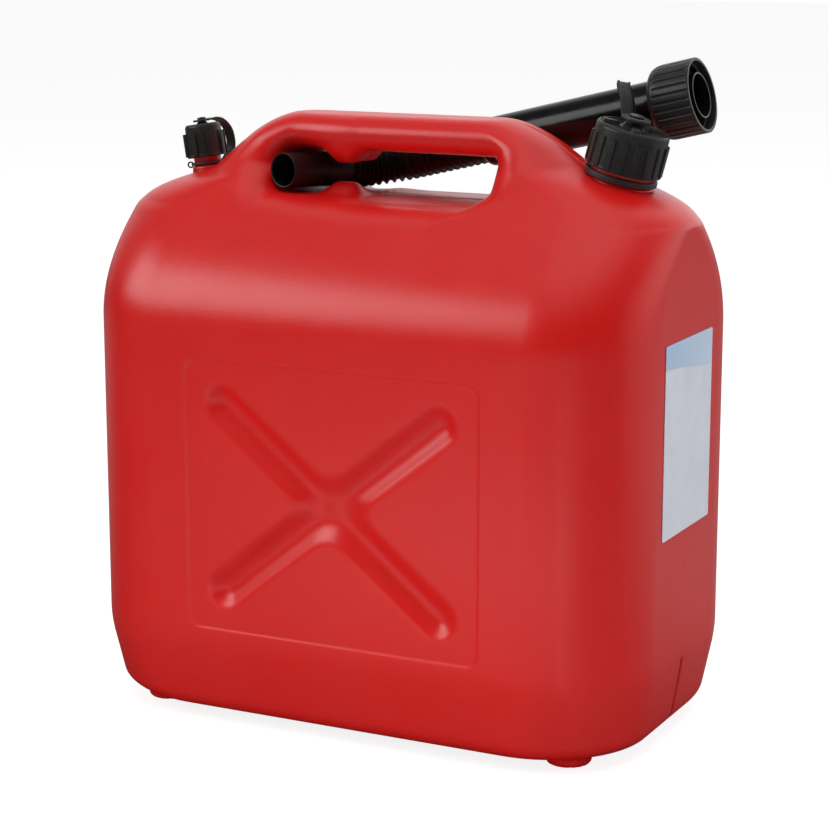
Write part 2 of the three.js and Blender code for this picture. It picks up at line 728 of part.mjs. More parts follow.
const nutInner = main.inner;
const nutRadius = nutInner + NUT_WALL;
const tubeWay = new THREE.Vector3(Math.cos(rad(TUBE_TILT)), 0, Math.sin(rad(TUBE_TILT)));
const tubeRise = Math.tan(rad(TUBE_TILT)) * TUBE_START;
const spoutY = Math.max(
  main.reach + nutRadius + NUT_TO_CAP_GAP,
  roofHalfDepth(SEAT_Z + tubeRise) + TUBE_RADIUS + TUBE_TO_HANDLE_GAP,
);
const seatPoint = new THREE.Vector3(SEAT_X, 0, SEAT_Z);
const bendPoint = seatPoint.clone().addScaledVector(nozzleWay, spoutY / nozzleWay.y);
const bendAngle = nozzleWay.angleTo(tubeWay);
const bendReach = BEND_RADIUS * Math.tan(bendAngle / 2);
const bendAxis = nozzleWay.clone().cross(tubeWay).normalize();
const nutMouth = (mainFrame.position.x + NUT_PAST_NECK - bendPoint.x) / tubeWay.x;
const nutStart = nutMouth - NUT_LENGTH;
const flangeLow = nutStart + NUT_END + STRAP_GAP;
const flangeHigh = flangeLow + FLANGE_THICKNESS;

function aimedFrame(origin, way) {
  const frame = new THREE.Group();
  frame.position.copy(origin);
  frame.quaternion.setFromUnitVectors(new THREE.Vector3(0, 0, 1), way);
  return frame;
}

const nozzleFrame = aimedFrame(seatPoint, nozzleWay);
const tubeFrame = aimedFrame(bendPoint, tubeWay);

function makeNozzle() {
  const bore = NOZZLE_RADIUS - NOZZLE_WALL;
  const back = NOZZLE_BACK - STRAP_GAP;
  return toGeometry(toSolid(turned([
    [bore, -NOZZLE_FRONT],
    [NOZZLE_RADIUS - 0.3, -NOZZLE_FRONT],
    [NOZZLE_RADIUS, -NOZZLE_FRONT + 1],
    [NOZZLE_RADIUS, back],
    [BELLOWS_BORE, back],
    [bore, back - 3],
    [bore, -NOZZLE_FRONT],
  ], 24)));
}

// Point and direction on the bellows' centre line at a distance from its start
function bellowsAt(distance) {
  const lead = spoutY / nozzleWay.y - bendReach - NOZZLE_BACK;
  const arc = BEND_RADIUS * bendAngle;
  if (distance < lead) {
    const point = seatPoint.clone().addScaledVector(nozzleWay, NOZZLE_BACK + distance);
    return { point, way: nozzleWay.clone() };
  }
  if (distance > lead + arc) {
    const point = bendPoint.clone().addScaledVector(tubeWay, bendReach + distance - lead - arc);
    return { point, way: tubeWay.clone() };
  }
  const angle = (distance - lead) / BEND_RADIUS;
  const centreWay = bendAxis.clone().cross(nozzleWay);
  const start = bendPoint.clone().addScaledVector(nozzleWay, -bendReach);
  const centre = start.clone().addScaledVector(centreWay, BEND_RADIUS);
  const point = start.sub(centre).applyAxisAngle(bendAxis, angle).add(centre);
  return { point, way: nozzleWay.clone().applyAxisAngle(bendAxis, angle) };
}

function makeBellows() {
  const lead = spoutY / nozzleWay.y - bendReach - NOZZLE_BACK;
  const length = lead + BEND_RADIUS * bendAngle + TUBE_START - bendReach;
  const sides = 16;
  const ringAt = (distance, radius) => {
    const { point, way } = bellowsAt(distance);
    const across = bendAxis.clone().cross(way);
    return Array.from({ length: sides }, (_, i) => {
      const angle = (i / sides) * 2 * Math.PI;
      return point.clone()
        .addScaledVector(across, radius * Math.cos(angle))
        .addScaledVector(bendAxis, radius * Math.sin(angle));
    });
  };
  const rings = [];
  for (let k = 0; k < RIB_COUNT; k++) {
    rings.push(ringAt((k / RIB_COUNT) * length, RIB_ROOT));
    rings.push(ringAt(((k + 0.5) / RIB_COUNT) * length, RIB_CREST));
  }
  rings.push(ringAt(length, RIB_ROOT));
  for (let k = RIB_COUNT; k >= 0; k -= 3) {
    rings.push(ringAt((k / RIB_COUNT) * length, BELLOWS_BORE));
  }
  return toGeometry(toSolid(ringSkin(rings, true)));
}

function makeTube() {
  const bore = TUBE_RADIUS - TUBE_WALL;
  const start = TUBE_START + STRAP_GAP;
  const collar = nutInner - 0.6;
  return toGeometry(toSolid(turned([
    [BELLOWS_BORE, start],
    [RIB_CREST, start],
    [RIB_CREST, start + 1.5],
    [TUBE_RADIUS, start + 4.5],
    [TUBE_RADIUS, flangeLow],
    [collar, flangeLow],
    [collar, flangeHigh],
    [PLUG_RADIUS, flangeHigh],
    [PLUG_RADIUS, nutMouth - 0.4],
    [bore, nutMouth - 0.4],
    [bore, start + 9],
    [BELLOWS_BORE, start + 4],
    [BELLOWS_BORE, start],
  ], 30)));
}

function makeNut() {
  const hole = TUBE_RADIUS + TURN_CLEARANCE + 0.1;
  const shell = turned([
    [hole, nutStart],
    [nutRadius - 5.5, nutStart],
    [nutRadius - 2.9, nutStart + 0.9],
    [nutRadius - 1.1, nutStart + 2.8],
    [nutRadius, nutStart + 6.2],
    [nutRadius, nutMouth],
    [nutInner, nutMouth],
    [nutInner, nutStart + NUT_END],
    [hole, nutStart + NUT_END],
    [hole, nutStart],
  ], 48);
  const ridge = threadRidge(nutInner, THREAD_EASE - main.depth, main.pitch, nutMouth - 12.5, 1.9);
  const grooves = [];
  for (let i = 0; i < NUT_GROOVES; i++) {
    const angle = ((i + 0.5) / NUT_GROOVES) * 2 * Math.PI;
    grooves.push(spoke(nutRadius - 0.8, nutRadius + 2, 1.3, nutStart + 6.5, nutMouth - 2.4, angle));
  }
  return toGeometry(joinAll([shell, ridge]).subtract(joinAll(grooves)));
}

function makeLabel() {
  const plate = roundedPlate(LABEL_WIDTH, LABEL_HEIGHT, 1.5, LABEL_THICKNESS);
  plate.rotateZ(Math.PI / 2);
  plate.rotateY(Math.PI / 2);
  plate.translate(HALF_LENGTH, LABEL_CENTRE_Y, LABEL_CENTRE_Z);
  return toGeometry(toSolid(plate));
}

// Materials

function plastic(colour, roughness) {
  return new THREE.MeshStandardMaterial({ color: colour, roughness, metalness: 0 });
}

const redShell = () => plastic(0xc42724, 0.42);
const blackCap = () => plastic(0x1c1c1d, 0.5);
const blackTube = () => plastic(0x141414, 0.3);
const blackTether = () => plastic(0x1a1a1a, 0.55);
const sealRubber = () => plastic(0x2b2c2e, 0.8);
const labelPaper = () => plastic(0xdfe3ee, 0.5);

function node(name, geometry, material) {
  const mesh = new THREE.Mesh(geometry, material);
  mesh.name = name;
  return mesh;
}

function makeScrewSet(prefix, size, stops, strapWidth, strapThickness) {
  const sealLow = size.neckTop + FACE_GAP;
  const seal = makeDisc(size.inner - 0.4, sealLow, sealLow + size.seal, size.segments);
  const ring = makeRing(size.ringInner, size.ringOuter, size.ringLow, size.ringHigh, size.segments);
  const eye = makeRing(size.eyeInner, size.eyeOuter, size.eyeLow, size.eyeHigh, 24);
  return [
    node(`${prefix}_cap`, makeCap(size), blackCap()),
    node(`${prefix}_cap_seal`, seal, sealRubber()),
    node(`${prefix}_tether_ring`, ring, blackTether()),
    node(`${prefix}_tether_strap`, makeStrap(stops, strapWidth, strapThickness), blackTether()),
    node(`${prefix}_tether_eye`, eye, blackTether()),
  ];
}

const can = new THREE.Group();
can.name = 'fuel_can';
can.add(node('can_body', makeBody(), redShell()));
can.add(node('label', makeLabel(), labelPaper()));

mainFrame.add(...makeScrewSet('main', main, mainStrapStops(), 8.2, 1.8));
ventFrame.add(...makeScrewSet('vent', vent, ventStrapStops(), 8.2, 1.4));
can.add(mainFrame, ventFrame);

nozzleFrame.add(node('spout_nozzle', makeNozzle(), blackTube()));
tubeFrame.add(node('spout_tube', makeTube(), blackTube()));
tubeFrame.add(node('spout_nut', makeNut(), blackCap()));
const sealStart = flangeHigh + FACE_GAP;
const sealEnd = sealStart + SPOUT_SEAL_THICKNESS;
const spoutSeal = makeRing(PLUG_RADIUS + 0.2, nutInner - 0.8, sealStart, sealEnd, 30);
tubeFrame.add(node('spout_seal', spoutSeal, sealRubber()));
can.add(nozzleFrame, tubeFrame);
can.add(node('spout_bellows', makeBellows(), blackTube()));

export default can;
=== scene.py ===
import math

import bpy
import numpy as np
from mathutils import Matrix, Vector


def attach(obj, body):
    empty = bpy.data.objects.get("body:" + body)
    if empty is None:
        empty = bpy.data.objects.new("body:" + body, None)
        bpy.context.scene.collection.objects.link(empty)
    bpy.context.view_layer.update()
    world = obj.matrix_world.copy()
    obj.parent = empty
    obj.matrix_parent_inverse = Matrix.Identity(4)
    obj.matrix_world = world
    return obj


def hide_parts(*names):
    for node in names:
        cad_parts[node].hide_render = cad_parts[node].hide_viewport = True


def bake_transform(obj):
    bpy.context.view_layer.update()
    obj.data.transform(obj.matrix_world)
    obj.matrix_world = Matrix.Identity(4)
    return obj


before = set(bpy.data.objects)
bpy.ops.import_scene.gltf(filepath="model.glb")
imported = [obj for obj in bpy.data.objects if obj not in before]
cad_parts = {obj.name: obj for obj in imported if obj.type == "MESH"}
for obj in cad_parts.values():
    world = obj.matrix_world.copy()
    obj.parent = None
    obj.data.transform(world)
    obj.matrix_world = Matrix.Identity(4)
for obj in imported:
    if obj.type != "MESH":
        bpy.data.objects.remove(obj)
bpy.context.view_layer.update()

# Shapes are worked out in millimetres and written to the meshes in metres.
MM = 0.001

# Can body
HALF_LENGTH = 187.2
HALF_DEPTH = 110.5
CORNER_RADIUS = 62.7
FOOT_HEIGHT, BASE_ROUND = 5.5, 12.5
HANDLE_TOP, HANDLE_HALF_DEPTH, HANDLE_ROUND = 377.0, 24.1, 15.5
PANEL_CENTRE = 148.6
PANEL_HALF_X, PANEL_HALF_Z, PANEL_CORNER, PANEL_SINK = 99.5, 85, 8, 0.8
CROSS_HALF_X, CROSS_HALF_Z = 73, 58.5
CROSS_RADIUS, CROSS_STAND = 10.64, 3.64
FOOT_X, FOOT_Y, FOOT_RADIUS, FOOT_ROUND = 141, 68.5, 12, 2
SLIT_TOP, SLIT_HALF = 50, 1.6
SEAM_WIDTH = 0.65

# Hand slot
SLOT_TOP, SLOT_BOTTOM = 354.5, 327.0
SLOT_LEFT, SLOT_RIGHT = -74.5, 68.5
SLOT_CORNER, SLOT_TOP_RIGHT_CORNER = 13.5, 5.5
SEAT = np.array([-61.0, 0.0, 340.75])
NUB_X = -39.0
NUB_GAP = 11.4
NUB_REACH = 16.0
NUB_FLANK = 12.5
FLOOR_ARCH = 480.0
FLOOR_ARCH_REACH = 30

# Label
LABEL_Y = (-41.5, 37.5)
LABEL_Z = (134.5, 252.5)
LABEL_FACE = 187.5
LABEL_CORNER = 1.5

# Spout
BEND_RADIUS = 33.0
NOZZLE_RADIUS = 11.0
NOZZLE_FRONT, NOZZLE_BACK = -37.8, 17.0
RIB_ROOT, RIB_CREST = 10.8, 12.8
RIBS = 21
RIB_SHAPE = (
    (0, 0), (0.18, 0.1), (0.32, 0.6), (0.42, 0.93), (0.5, 1), (0.58, 0.93), (0.68, 0.6), (0.82, 0.1),
)
BELLOWS_BORE = 9
TUBE_RADIUS = 15.4
TUBE_START = 77.3
FLANGE_RADIUS, FLANGE_THICK = 20.4, 3
PLUG_RADIUS = 14.25
NUT_MOUTH = 226.956
NUT_LENGTH = 29.0
NUT_RADIUS, NUT_BORE = 23.2, 21
NUT_GROOVES = 30

# Gap that keeps neighbouring pieces apart
PLAY = 0.15


def heading(turn, rise):
    """Unit direction from a turn round Z and a rise above level, in degrees."""
    turn, rise = math.radians(turn), math.radians(rise)
    return np.array([math.cos(turn) * math.cos(rise), math.sin(turn) * math.cos(rise), math.sin(rise)])


NOZZLE_WAY = heading(75, -3)
TUBE_WAY = heading(0, 13.7)
BEND_POINT = SEAT + NOZZLE_WAY * 50.0146 / NOZZLE_WAY[1]

MAIN_FRAME = Matrix.Translation((141.9, 0, 350.3)) @ Matrix.Rotation(math.radians(15), 4, "Y")
VENT_FRAME = Matrix.Translation((-148.5, 0, 344.6)) @ Matrix.Rotation(math.radians(-9), 4, "Y")


def aimed(origin, way):
    turn = Vector((0, 0, 1)).rotation_difference(Vector(way)).to_matrix().to_4x4()
    return Matrix.Translation(Vector(origin)) @ turn


NOZZLE_FRAME = aimed(SEAT, NOZZLE_WAY)
TUBE_FRAME = aimed(BEND_POINT, TUBE_WAY)


# Camera


def make_camera():
    data = bpy.data.cameras.new("camera")
    data.lens = 102.645
    data.sensor_width = 36
    data.clip_start = 0.05
    camera = bpy.data.objects.new("camera", data)
    bpy.context.scene.collection.objects.link(camera)
    azimuth, elevation, distance = math.radians(26.714), math.radians(11.951), 1.5044
    target = Vector((0.00233, 0, 0.18737))
    away = Vector((
        math.sin(azimuth) * math.cos(elevation),
        -math.cos(azimuth) * math.cos(elevation),
        math.sin(elevation),
    ))
    camera.location = target + away * distance
    camera.rotation_euler = (-away).to_track_quat("-Z", "Y").to_euler()
    bpy.context.scene.camera = camera


# Meshes from points


def add_mesh(name, points, faces, material, place=None, normals=None):
    points = np.asarray(points, float)
    if place is not None:
        turn = np.array(place)
        points = points @ turn[:3, :3].T + turn[:3, 3]
    mesh = bpy.data.meshes.new(name)
    mesh.from_pydata((points * MM).tolist(), [], faces)
    mesh.update()
    mesh.shade_smooth()
    if normals is not None:
        mesh.normals_split_custom_set_from_vertices(normals.tolist())
    mesh.materials.append(material)
    piece = bpy.data.objects.new(name, mesh)
    bpy.context.scene.collection.objects.link(piece)
    if normals is None:
        even = piece.modifiers.new("even", "WEIGHTED_NORMAL")
        even.keep_sharp = True
    return piece


def ring_faces(rings, count, loop):
    """Quads between rings of points, each closed; a loop also joins the last ring to the first."""
    faces = []
    for k in range(rings if loop else rings - 1):
        low, high = k * count, ((k + 1) % rings) * count
        for i in range(count):
            j = (i + 1) % count
            faces.append((low + i, low + j, high + j, high + i))
    return faces


def rounded(profile, steps=4):
    """Corners given as (radius, height, fillet) become short curves."""
    points = [np.array(p[:2], float) for p in profile]
    fillets = [p[2] if len(p) > 2 else 0 for p in profile]
    curve = [tuple(points[0])]
    for before, here, after, fillet in zip(points, points[1:], points[2:], fillets[1:]):
        if not fillet:
            curve.append(tuple(here))
            continue
        back, on = before - here, after - here
        reach = min(fillet, 0.49 * np.hypot(*back), 0.49 * np.hypot(*on))
        start = here + back / np.hypot(*back) * reach
        end = here + on / np.hypot(*on) * reach
        for t in np.linspace(0, 1, steps + 1):
            curve.append(tuple((1 - t) ** 2 * start + 2 * t * (1 - t) * here + t * t * end))
    curve.append(tuple(points[-1]))
    return curve


def dense(profile, longest):
    """Adds points along a profile so that no stretch is longer than asked."""
    curve = [profile[0]]
    for a, b in zip(profile, profile[1:]):
        steps = max(1, math.ceil(math.dist(a, b) / longest))
        for k in range(1, steps + 1):
            curve.append(tuple(np.array(a) + (np.array(b) - np.array(a)) * k / steps))
    return curve


def turned_mesh(profile, segments, relief=None):
    """Points and faces of a piece turned round Z.

    A profile starts and ends on the axis, or on the same point.
    """
    loop = math.dist(profile[0], profile[-1]) < 1e-6
    inner = profile[:-1] if loop else profile[1:-1]
    angles = np.arange(segments) * 2 * math.pi / segments
    radius = np.array([p[0] for p in inner])[:, None] + 0 * angles
    height = np.array([p[1] for p in inner])[:, None] + 0 * angles
    if relief is not None:
        radius, height = relief(radius, height, angles[None, :])
    points = np.stack([radius * np.cos(angles), radius * np.sin(angles), height], -1).reshape(-1, 3)
    faces = ring_faces(len(inner), segments, loop)
    if not loop:
        first, last = len(points), len(points) + 1
        points = np.vstack([points, [0, 0, profile[0][1]], [0, 0, profile[-1][1]]])
        top = (len(inner) - 1) * segments
        for i in range(segments):
            j = (i + 1) % segments
            faces.append((first, j, i))
            faces.append((last, top + i, top + j))
    return points, faces


def helix_mesh(radius, depth, pitch, start, turns):
    """Points and faces of a thread ridge; a negative depth stands inward."""
    per_turn, fade_steps = 48, 6
    steps = round(turns * per_turn)
    side = math.copysign(1, depth)
    rings = []
    for k in range(steps + 1):
        angle = k / per_turn * 2 * math.pi
        fade = min(1, k / fade_steps, (steps - k) / fade_steps)
        root, flank, crest = radius - side * 0.3, radius + 0.3 * depth * fade, radius + depth * fade
        ridge = [(root, -0.3), (flank, -0.22), (crest, -0.12), (crest, 0.12), (flank, 0.22), (root, 0.3)]
        for r, rise in ridge:
            rings.append((r * math.cos(angle), r * math.sin(angle), start + (k / per_turn + rise) * pitch))
    count = len(ridge)
    faces = ring_faces(steps + 1, count, False)
    faces += [tuple(range(count - 1, -1, -1)), tuple(range(count * steps, count * (steps + 1)))]
    if side < 0:
        faces = [face[::-1] for face in faces]
    return np.array(rings), [face[::-1] for face in faces]


def joined(*meshes):
    points, faces = [], []
    for more, corners in meshes:
        shift = sum(len(p) for p in points)
        points.append(np.asarray(more, float))
        faces += [tuple(c + shift for c in face) for face in corners]
    return np.vstack(points), faces


# Can body: one smooth form given by a distance, with its handle, cross, panels and feet


def soft_min(a, b, blend):
    near = np.maximum(blend - np.abs(a - b), 0) / blend
    return np.minimum(a, b) - near * near * blend / 4


def soft_max(a, b, blend):
    return -soft_min(-a, -b, blend)


def ease(t):
    t = np.clip(t, 0, 1)
    return t * t * (3 - 2 * t)


def quarter_round(radius, distance):
    inside = np.clip(distance, 0, radius)
    return radius - np.sqrt(radius * radius - inside * inside)


def end_reach(z, roof_height, roof_slope, handle_start, handle_slope):
    """Reach of an end of the can: its wall, then the roof, then the handle's end."""
    roof = 165 - (z - roof_height) * roof_slope
    handle = handle_start - (z - 347) * handle_slope
    return soft_min(HALF_LENGTH, soft_max(roof, handle, 6.5), 72)


def section(z):
    """Reach of the can to the left, to the right and to the front at a height."""
    depth = soft_min(HALF_DEPTH, soft_max(60 - (z - 323) * 1.31, HANDLE_HALF_DEPTH, 53), 45)
    right = end_reach(z, 338.8, 4.165, 123.6, 1.43)
    left = end_reach(z, 333.8, 5.01, 128.6, 1.24)
    inset = 0.165 * soft_max(52 - z, 0, 9)
    inset = inset + quarter_round(BASE_ROUND, FOOT_HEIGHT + BASE_ROUND - z)
    inset = inset + quarter_round(HANDLE_ROUND, z - (HANDLE_TOP - HANDLE_ROUND))
    return left - inset, right - inset, depth - inset


def level_distance(x, y, z):
    """Distance to the outline at a height, measured on the level."""
    left, right, depth = section(z)
    radius = np.minimum(CORNER_RADIUS, 0.98 * depth)
    across = np.abs(x - (right - left) / 2) - ((right + left) / 2 - radius)
    along = np.abs(y) - (depth - radius)
    outside = np.hypot(np.maximum(across, 0), np.maximum(along, 0))
    return outside + np.minimum(np.maximum(across, along), 0) - radius


def shell_distance(x, y, z):
    """Distance to the can without its slot, cross, panels and feet."""
    here, step = level_distance(x, y, z), 0.4
    slope = level_distance(x, y, z + step) - level_distance(x, y, z - step)
    side = here / np.sqrt(1 + (slope / (2 * step)) ** 2)
    return np.maximum(np.maximum(side, z - HANDLE_TOP), FOOT_HEIGHT - z)


def box_distance(x, z, half_x, half_z, radius):
    across, up = np.abs(x) - half_x + radius, np.abs(z) - half_z + radius
    outside = np.hypot(np.maximum(across, 0), np.maximum(up, 0))
    return outside + np.minimum(np.maximum(across, up), 0) - radius


def slot_distance(x, y, z):
    """Distance to the hand slot, with two nubs and an arched floor; its left end follows the nozzle."""
    before = ease((SEAT[0] + 20 - x) / 30)
    behind = ease((NUB_X + 22.4 - x) / 28) * ease((x - SEAT[0] + 19) / 22)
    follow = np.where(y < 0, before, behind) * y / NOZZLE_WAY[1]
    x, up = x - follow * NOZZLE_WAY[0], z - follow * NOZZLE_WAY[2] - SEAT[2]
    arch = np.minimum(y * y, FLOOR_ARCH_REACH ** 2) / FLOOR_ARCH * ease((x - NUB_X) / 30)
    up = np.where(up < 0, np.minimum(up + arch, 0), up)
    half_x, half_z = (SLOT_RIGHT - SLOT_LEFT) / 2, (SLOT_TOP - SLOT_BOTTOM) / 2
    across = x - (SLOT_LEFT + SLOT_RIGHT) / 2
    reach = np.where(up > 0, NUB_REACH, NUB_REACH + 1)
    depth = ease((28 - np.abs(y)) / 16) * np.where(up > 0, 1, ease((8 - y) / 20))
    nub = (half_z - NUB_GAP / 2) * ease((reach - np.abs(x - NUB_X)) / NUB_FLANK) * depth
    corner = np.where((across > 0) & (up > 0), SLOT_TOP_RIGHT_CORNER, SLOT_CORNER)
    return box_distance(across, np.abs(up) + nub, half_x, half_z, corner)


def round_cut(solid, hole, radius):
    """Solid less hole, with the rim rounded to a radius."""
    a, b = np.maximum(radius + solid, 0), np.maximum(radius - hole, 0)
    return np.minimum(-radius, np.maximum(solid, -hole)) + np.hypot(a, b)


def cross_distance(x, y, z):
    """Distance to the round bars that sink the cross into both faces."""
    rise = z - PANEL_CENTRE
    reach = math.hypot(CROSS_HALF_X, CROSS_HALF_Z)
    lean_x, lean_z = CROSS_HALF_X / reach, CROSS_HALF_Z / reach
    arms = []
    for way in (-1, 1):
        along = np.clip(way * x * lean_x + rise * lean_z, -reach, reach)
        arms.append(np.hypot(x - way * along * lean_x, rise - along * lean_z))
    flat = soft_min(arms[0], arms[1], 16)
    return np.hypot(flat, np.abs(y) - HALF_DEPTH - CROSS_STAND) - CROSS_RADIUS


def parting_ridge(x, y, z):
    """Height of the seam of the mould's halves: none under the label, rough beside the filling neck."""
    under_label = ease((x - 150) / 20) * ease((z - LABEL_Z[0] + 2) / 3) * ease((LABEL_Z[1] + 2 - z) / 3)
    roof, wave = ease((z - 340) / 6), 0.5 + 0.5 * np.sin(x * 1.9 + 2 * np.sin(x * 0.7))
    rough = ease(1 - np.abs(x - 117) / 16) * roof * wave
    slope = ease((x - 75) / 8) * ease((125 - x) / 10) * roof
    slot_floor = ease((x - NUB_X - 16) / 8) * ease((SLOT_RIGHT - 4 - x) / 8)
    slot_floor = slot_floor * ease((336 - z) / 3) * ease((z - 318) / 4)
    height = 0.12 + 0.5 * slope + 0.45 * rough + 0.3 * slot_floor
    return height * (1 - under_label) * np.exp(-((y / SEAM_WIDTH) ** 2)) * ease((z - 12) / 10)


def slot_rim(x, z):
    """Radius of the slot's rim: tighter at the bottom, most of all at the right end."""
    right_end = ease((x - 40) / 18) * ease((362 - z) / 14)
    elsewhere = 12 + 12 * ease((z - 334) / 14)
    return elsewhere * (1 - right_end) + (5 + 16 * ease((z - 326) / 9)) * right_end


def foot_distance(x, y, z):
    """Distance to the four round feet."""
    out = np.hypot(np.abs(x) - FOOT_X, np.abs(y) - FOOT_Y) - FOOT_RADIUS
    under = FOOT_ROUND - z
    outside = np.hypot(np.maximum(out, 0), np.maximum(under, 0))
    return np.maximum(outside - FOOT_ROUND + np.minimum(np.maximum(out, under), 0), z - 14)


def body_distance(x, y, z):
    """Distance to the finished can without its necks."""
    shell = shell_distance(x, y, z)
    panel = box_distance(x, z - PANEL_CENTRE, PANEL_HALF_X, PANEL_HALF_Z, PANEL_CORNER)
    shell = shell + PANEL_SINK * ease(0.5 - panel / 2.4) * ease((np.abs(y) - 90) / 10)
    shell = round_cut(shell, slot_distance(x, y, z), slot_rim(x, z))
    shell = soft_max(shell, -cross_distance(x, y, z), 5)
    for size, place in ((MAIN, MAIN_FRAME), (VENT, VENT_FRAME)):
        height, away = neck_place(place, x, y, z)
        seat = np.maximum(away - size["ring"][1] - 0.3, size["ring"][2] + 0.6 - height)
        shell = soft_max(shell, -seat, 1)
    shell = shell - parting_ridge(x, y, z)
    slit = np.maximum(np.hypot(y, np.maximum(z - SLIT_TOP, 0)) - SLIT_HALF, 150 - x)
    shell = soft_max(shell, -slit, 1.5)
    shell = soft_min(shell, foot_distance(x, y, z), 2)
    return np.maximum(shell, -bore_distance(x, y, z))


def neck_place(place, x, y, z):
    """Height along a neck's axis and distance from it."""
    axis, at = np.array(place.col[2][:3]), np.array(place.translation)
    height = (x - at[0]) * axis[0] + (z - at[2]) * axis[2]
    across = (x - at[0]) * axis[2] - (z - at[2]) * axis[0]
    return height, np.hypot(across, y)


def bore_distance(x, y, z):
    """Distance to the two wells under the necks."""
    wells = []
    for size, place in ((MAIN, MAIN_FRAME), (VENT, VENT_FRAME)):
        height, away = neck_place(place, x, y, z)
        wells.append(np.maximum(away - size["bore"], -60 - height))
    return np.minimum(wells[0], wells[1])


def planes(stretches):
    """Grid planes from (start, end, step) stretches that follow on from each other."""
    values = []
    for start, end, step in stretches:
        values += list(np.linspace(start, end, max(1, round((end - start) / step)) + 1)[:-1])
    return np.array(values + [stretches[-1][1]])


def mirrored(stretches):
    """The stretches from zero up, with their mirror image before them."""
    return [(-end, -start, step) for start, end, step in reversed(stretches)] + stretches


def net(xs, ys, zs, field):
    """Quads where the field changes sign on a grid, one point for each cell that it crosses."""
    grids = (xs, ys, zs)
    shape = [len(g) - 1 for g in grids]
    cells, places, quads = [], [], []
    for axis in range(3):
        first = [slice(None)] * 3
        second = [slice(None)] * 3
        first[axis], second[axis] = slice(None, -1), slice(1, None)
        low, high = field[tuple(first)], field[tuple(second)]
        index = np.stack(np.nonzero((low < 0) != (high < 0)), -1)
        a, b = low[tuple(index.T)], high[tuple(index.T)]
        share = a / (a - b)
        place = np.stack([grids[n][index[:, n]] for n in range(3)], -1)
        step = grids[axis][index[:, axis] + 1] - grids[axis][index[:, axis]]
        place[:, axis] += share * step
        u, v = (axis + 1) % 3, (axis + 2) % 3
        corners = []
        for du, dv in ((-1, -1), (0, -1), (0, 0), (-1, 0)):
            cell = index.copy()
            cell[:, u] += du
            cell[:, v] += dv
            number = (cell[:, 0] * shape[1] + cell[:, 1]) * shape[2] + cell[:, 2]
            corners.append(number)
            cells.append(number)
            places.append(place)
        quad = np.stack(corners, -1)
        quad[a > 0] = quad[a > 0][:, ::-1]
        quads.append(quad)
    numbers, back = np.unique(np.concatenate(cells), return_inverse=True)
    count = np.bincount(back)
    places = np.concatenate(places)
    points = np.stack([np.bincount(back, places[:, n]) / count for n in range(3)], -1)
    return points, np.searchsorted(numbers, np.concatenate(quads))


def slope_at(points, reach):
    """Slope of the can's distance, from steps to both sides."""
    slope = []
    for axis in range(3):
        step = np.zeros(3)
        step[axis] = reach
        rise = body_distance(*(points + step).T) - body_distance(*(points - step).T)
        slope.append(rise / (2 * reach))
    return np.stack(slope, -1)


def body_points():
    """Points, quads and normals of the can, from a grid that is finer at the panel, seam and handle."""
    side = [(0, 97, 3), (97, 102, 0.9), (102, 186, 3), (186, 192, 2)]
    xs = planes(mirrored(side))
    front = [(0, 2.4, 0.6), (2.4, 6, 1.2), (6, 92, 3), (92, 114, 2.2)]
    ys = planes(mirrored(front))
    zs = planes([(-3, 20, 2), (20, 61, 3), (61, 66, 0.9), (66, 231, 3), (231, 236, 0.9),
                 (236, 318, 2.9), (318, 381, 1.75)])
    field = np.empty((len(xs), len(ys), len(zs)))
    across, deep = np.meshgrid(xs, ys, indexing="ij")
    for k, z in enumerate(zs):
        field[:, :, k] = body_distance(across, deep, np.full_like(across, z))
    points, quads = net(xs, ys, zs, field)
    for _ in range(4):
        slope = slope_at(points, 0.05)
        square = np.maximum((slope ** 2).sum(-1), 0.05)
        move = np.clip(body_distance(*points.T) / square, -1.2, 1.2)
        points = points - slope * move[:, None]
    normals = slope_at(points, 0.35)
    return points, quads, normals / np.linalg.norm(normals, axis=-1, keepdims=True)


def make_body(material):
    points, quads, normals = body_points()
    piece = add_mesh("can_shell", points, quads.tolist(), material, normals=normals)
    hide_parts("can_body")
    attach(piece, "can")


def make_neck(name, place, size, material):
    radius, bore, top, pitch = size["neck"], size["bore"], size["neck_top"], size["pitch"]
    low, root = size["ring"][2], -13
    tube = turned_mesh(rounded([
        (bore, root), (radius + 2.5, root, 0.5), (radius + 1.5, low - 1.2, 1.2), (radius, low - 0.2, 0.8),
        (radius, top, 0.7), (bore, top, 0.7), (bore, root),
    ]), 72)
    thread = helix_mesh(radius, size["depth"], pitch, top - 2.4 * pitch, 1.75)
    piece = add_mesh(name, *joined(tube, thread), material, place)
    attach(piece, "can")


# Screw caps


def pad_mesh(inner, outer, half, low, high, angle):
    """Points and faces of a grip pad on a cap's skirt, with a bevelled outer face."""
    edge = 0.3
    across, up = np.array([-half, half, half, -half]), np.array([low, low, high, high])
    inset = np.array([edge, -edge, -edge, edge]), np.array([edge, edge, -edge, -edge])
    points = []
    for radius, share in ((inner, 0), (outer - edge, 0), (outer, 1)):
        points += list(zip([radius] * 4, across + share * inset[0], up + share * inset[1]))
    turn = np.array(Matrix.Rotation(angle, 3, "Z"))
    return np.array(points) @ turn.T, ring_faces(3, 4, False) + [(8, 9, 10, 11)]


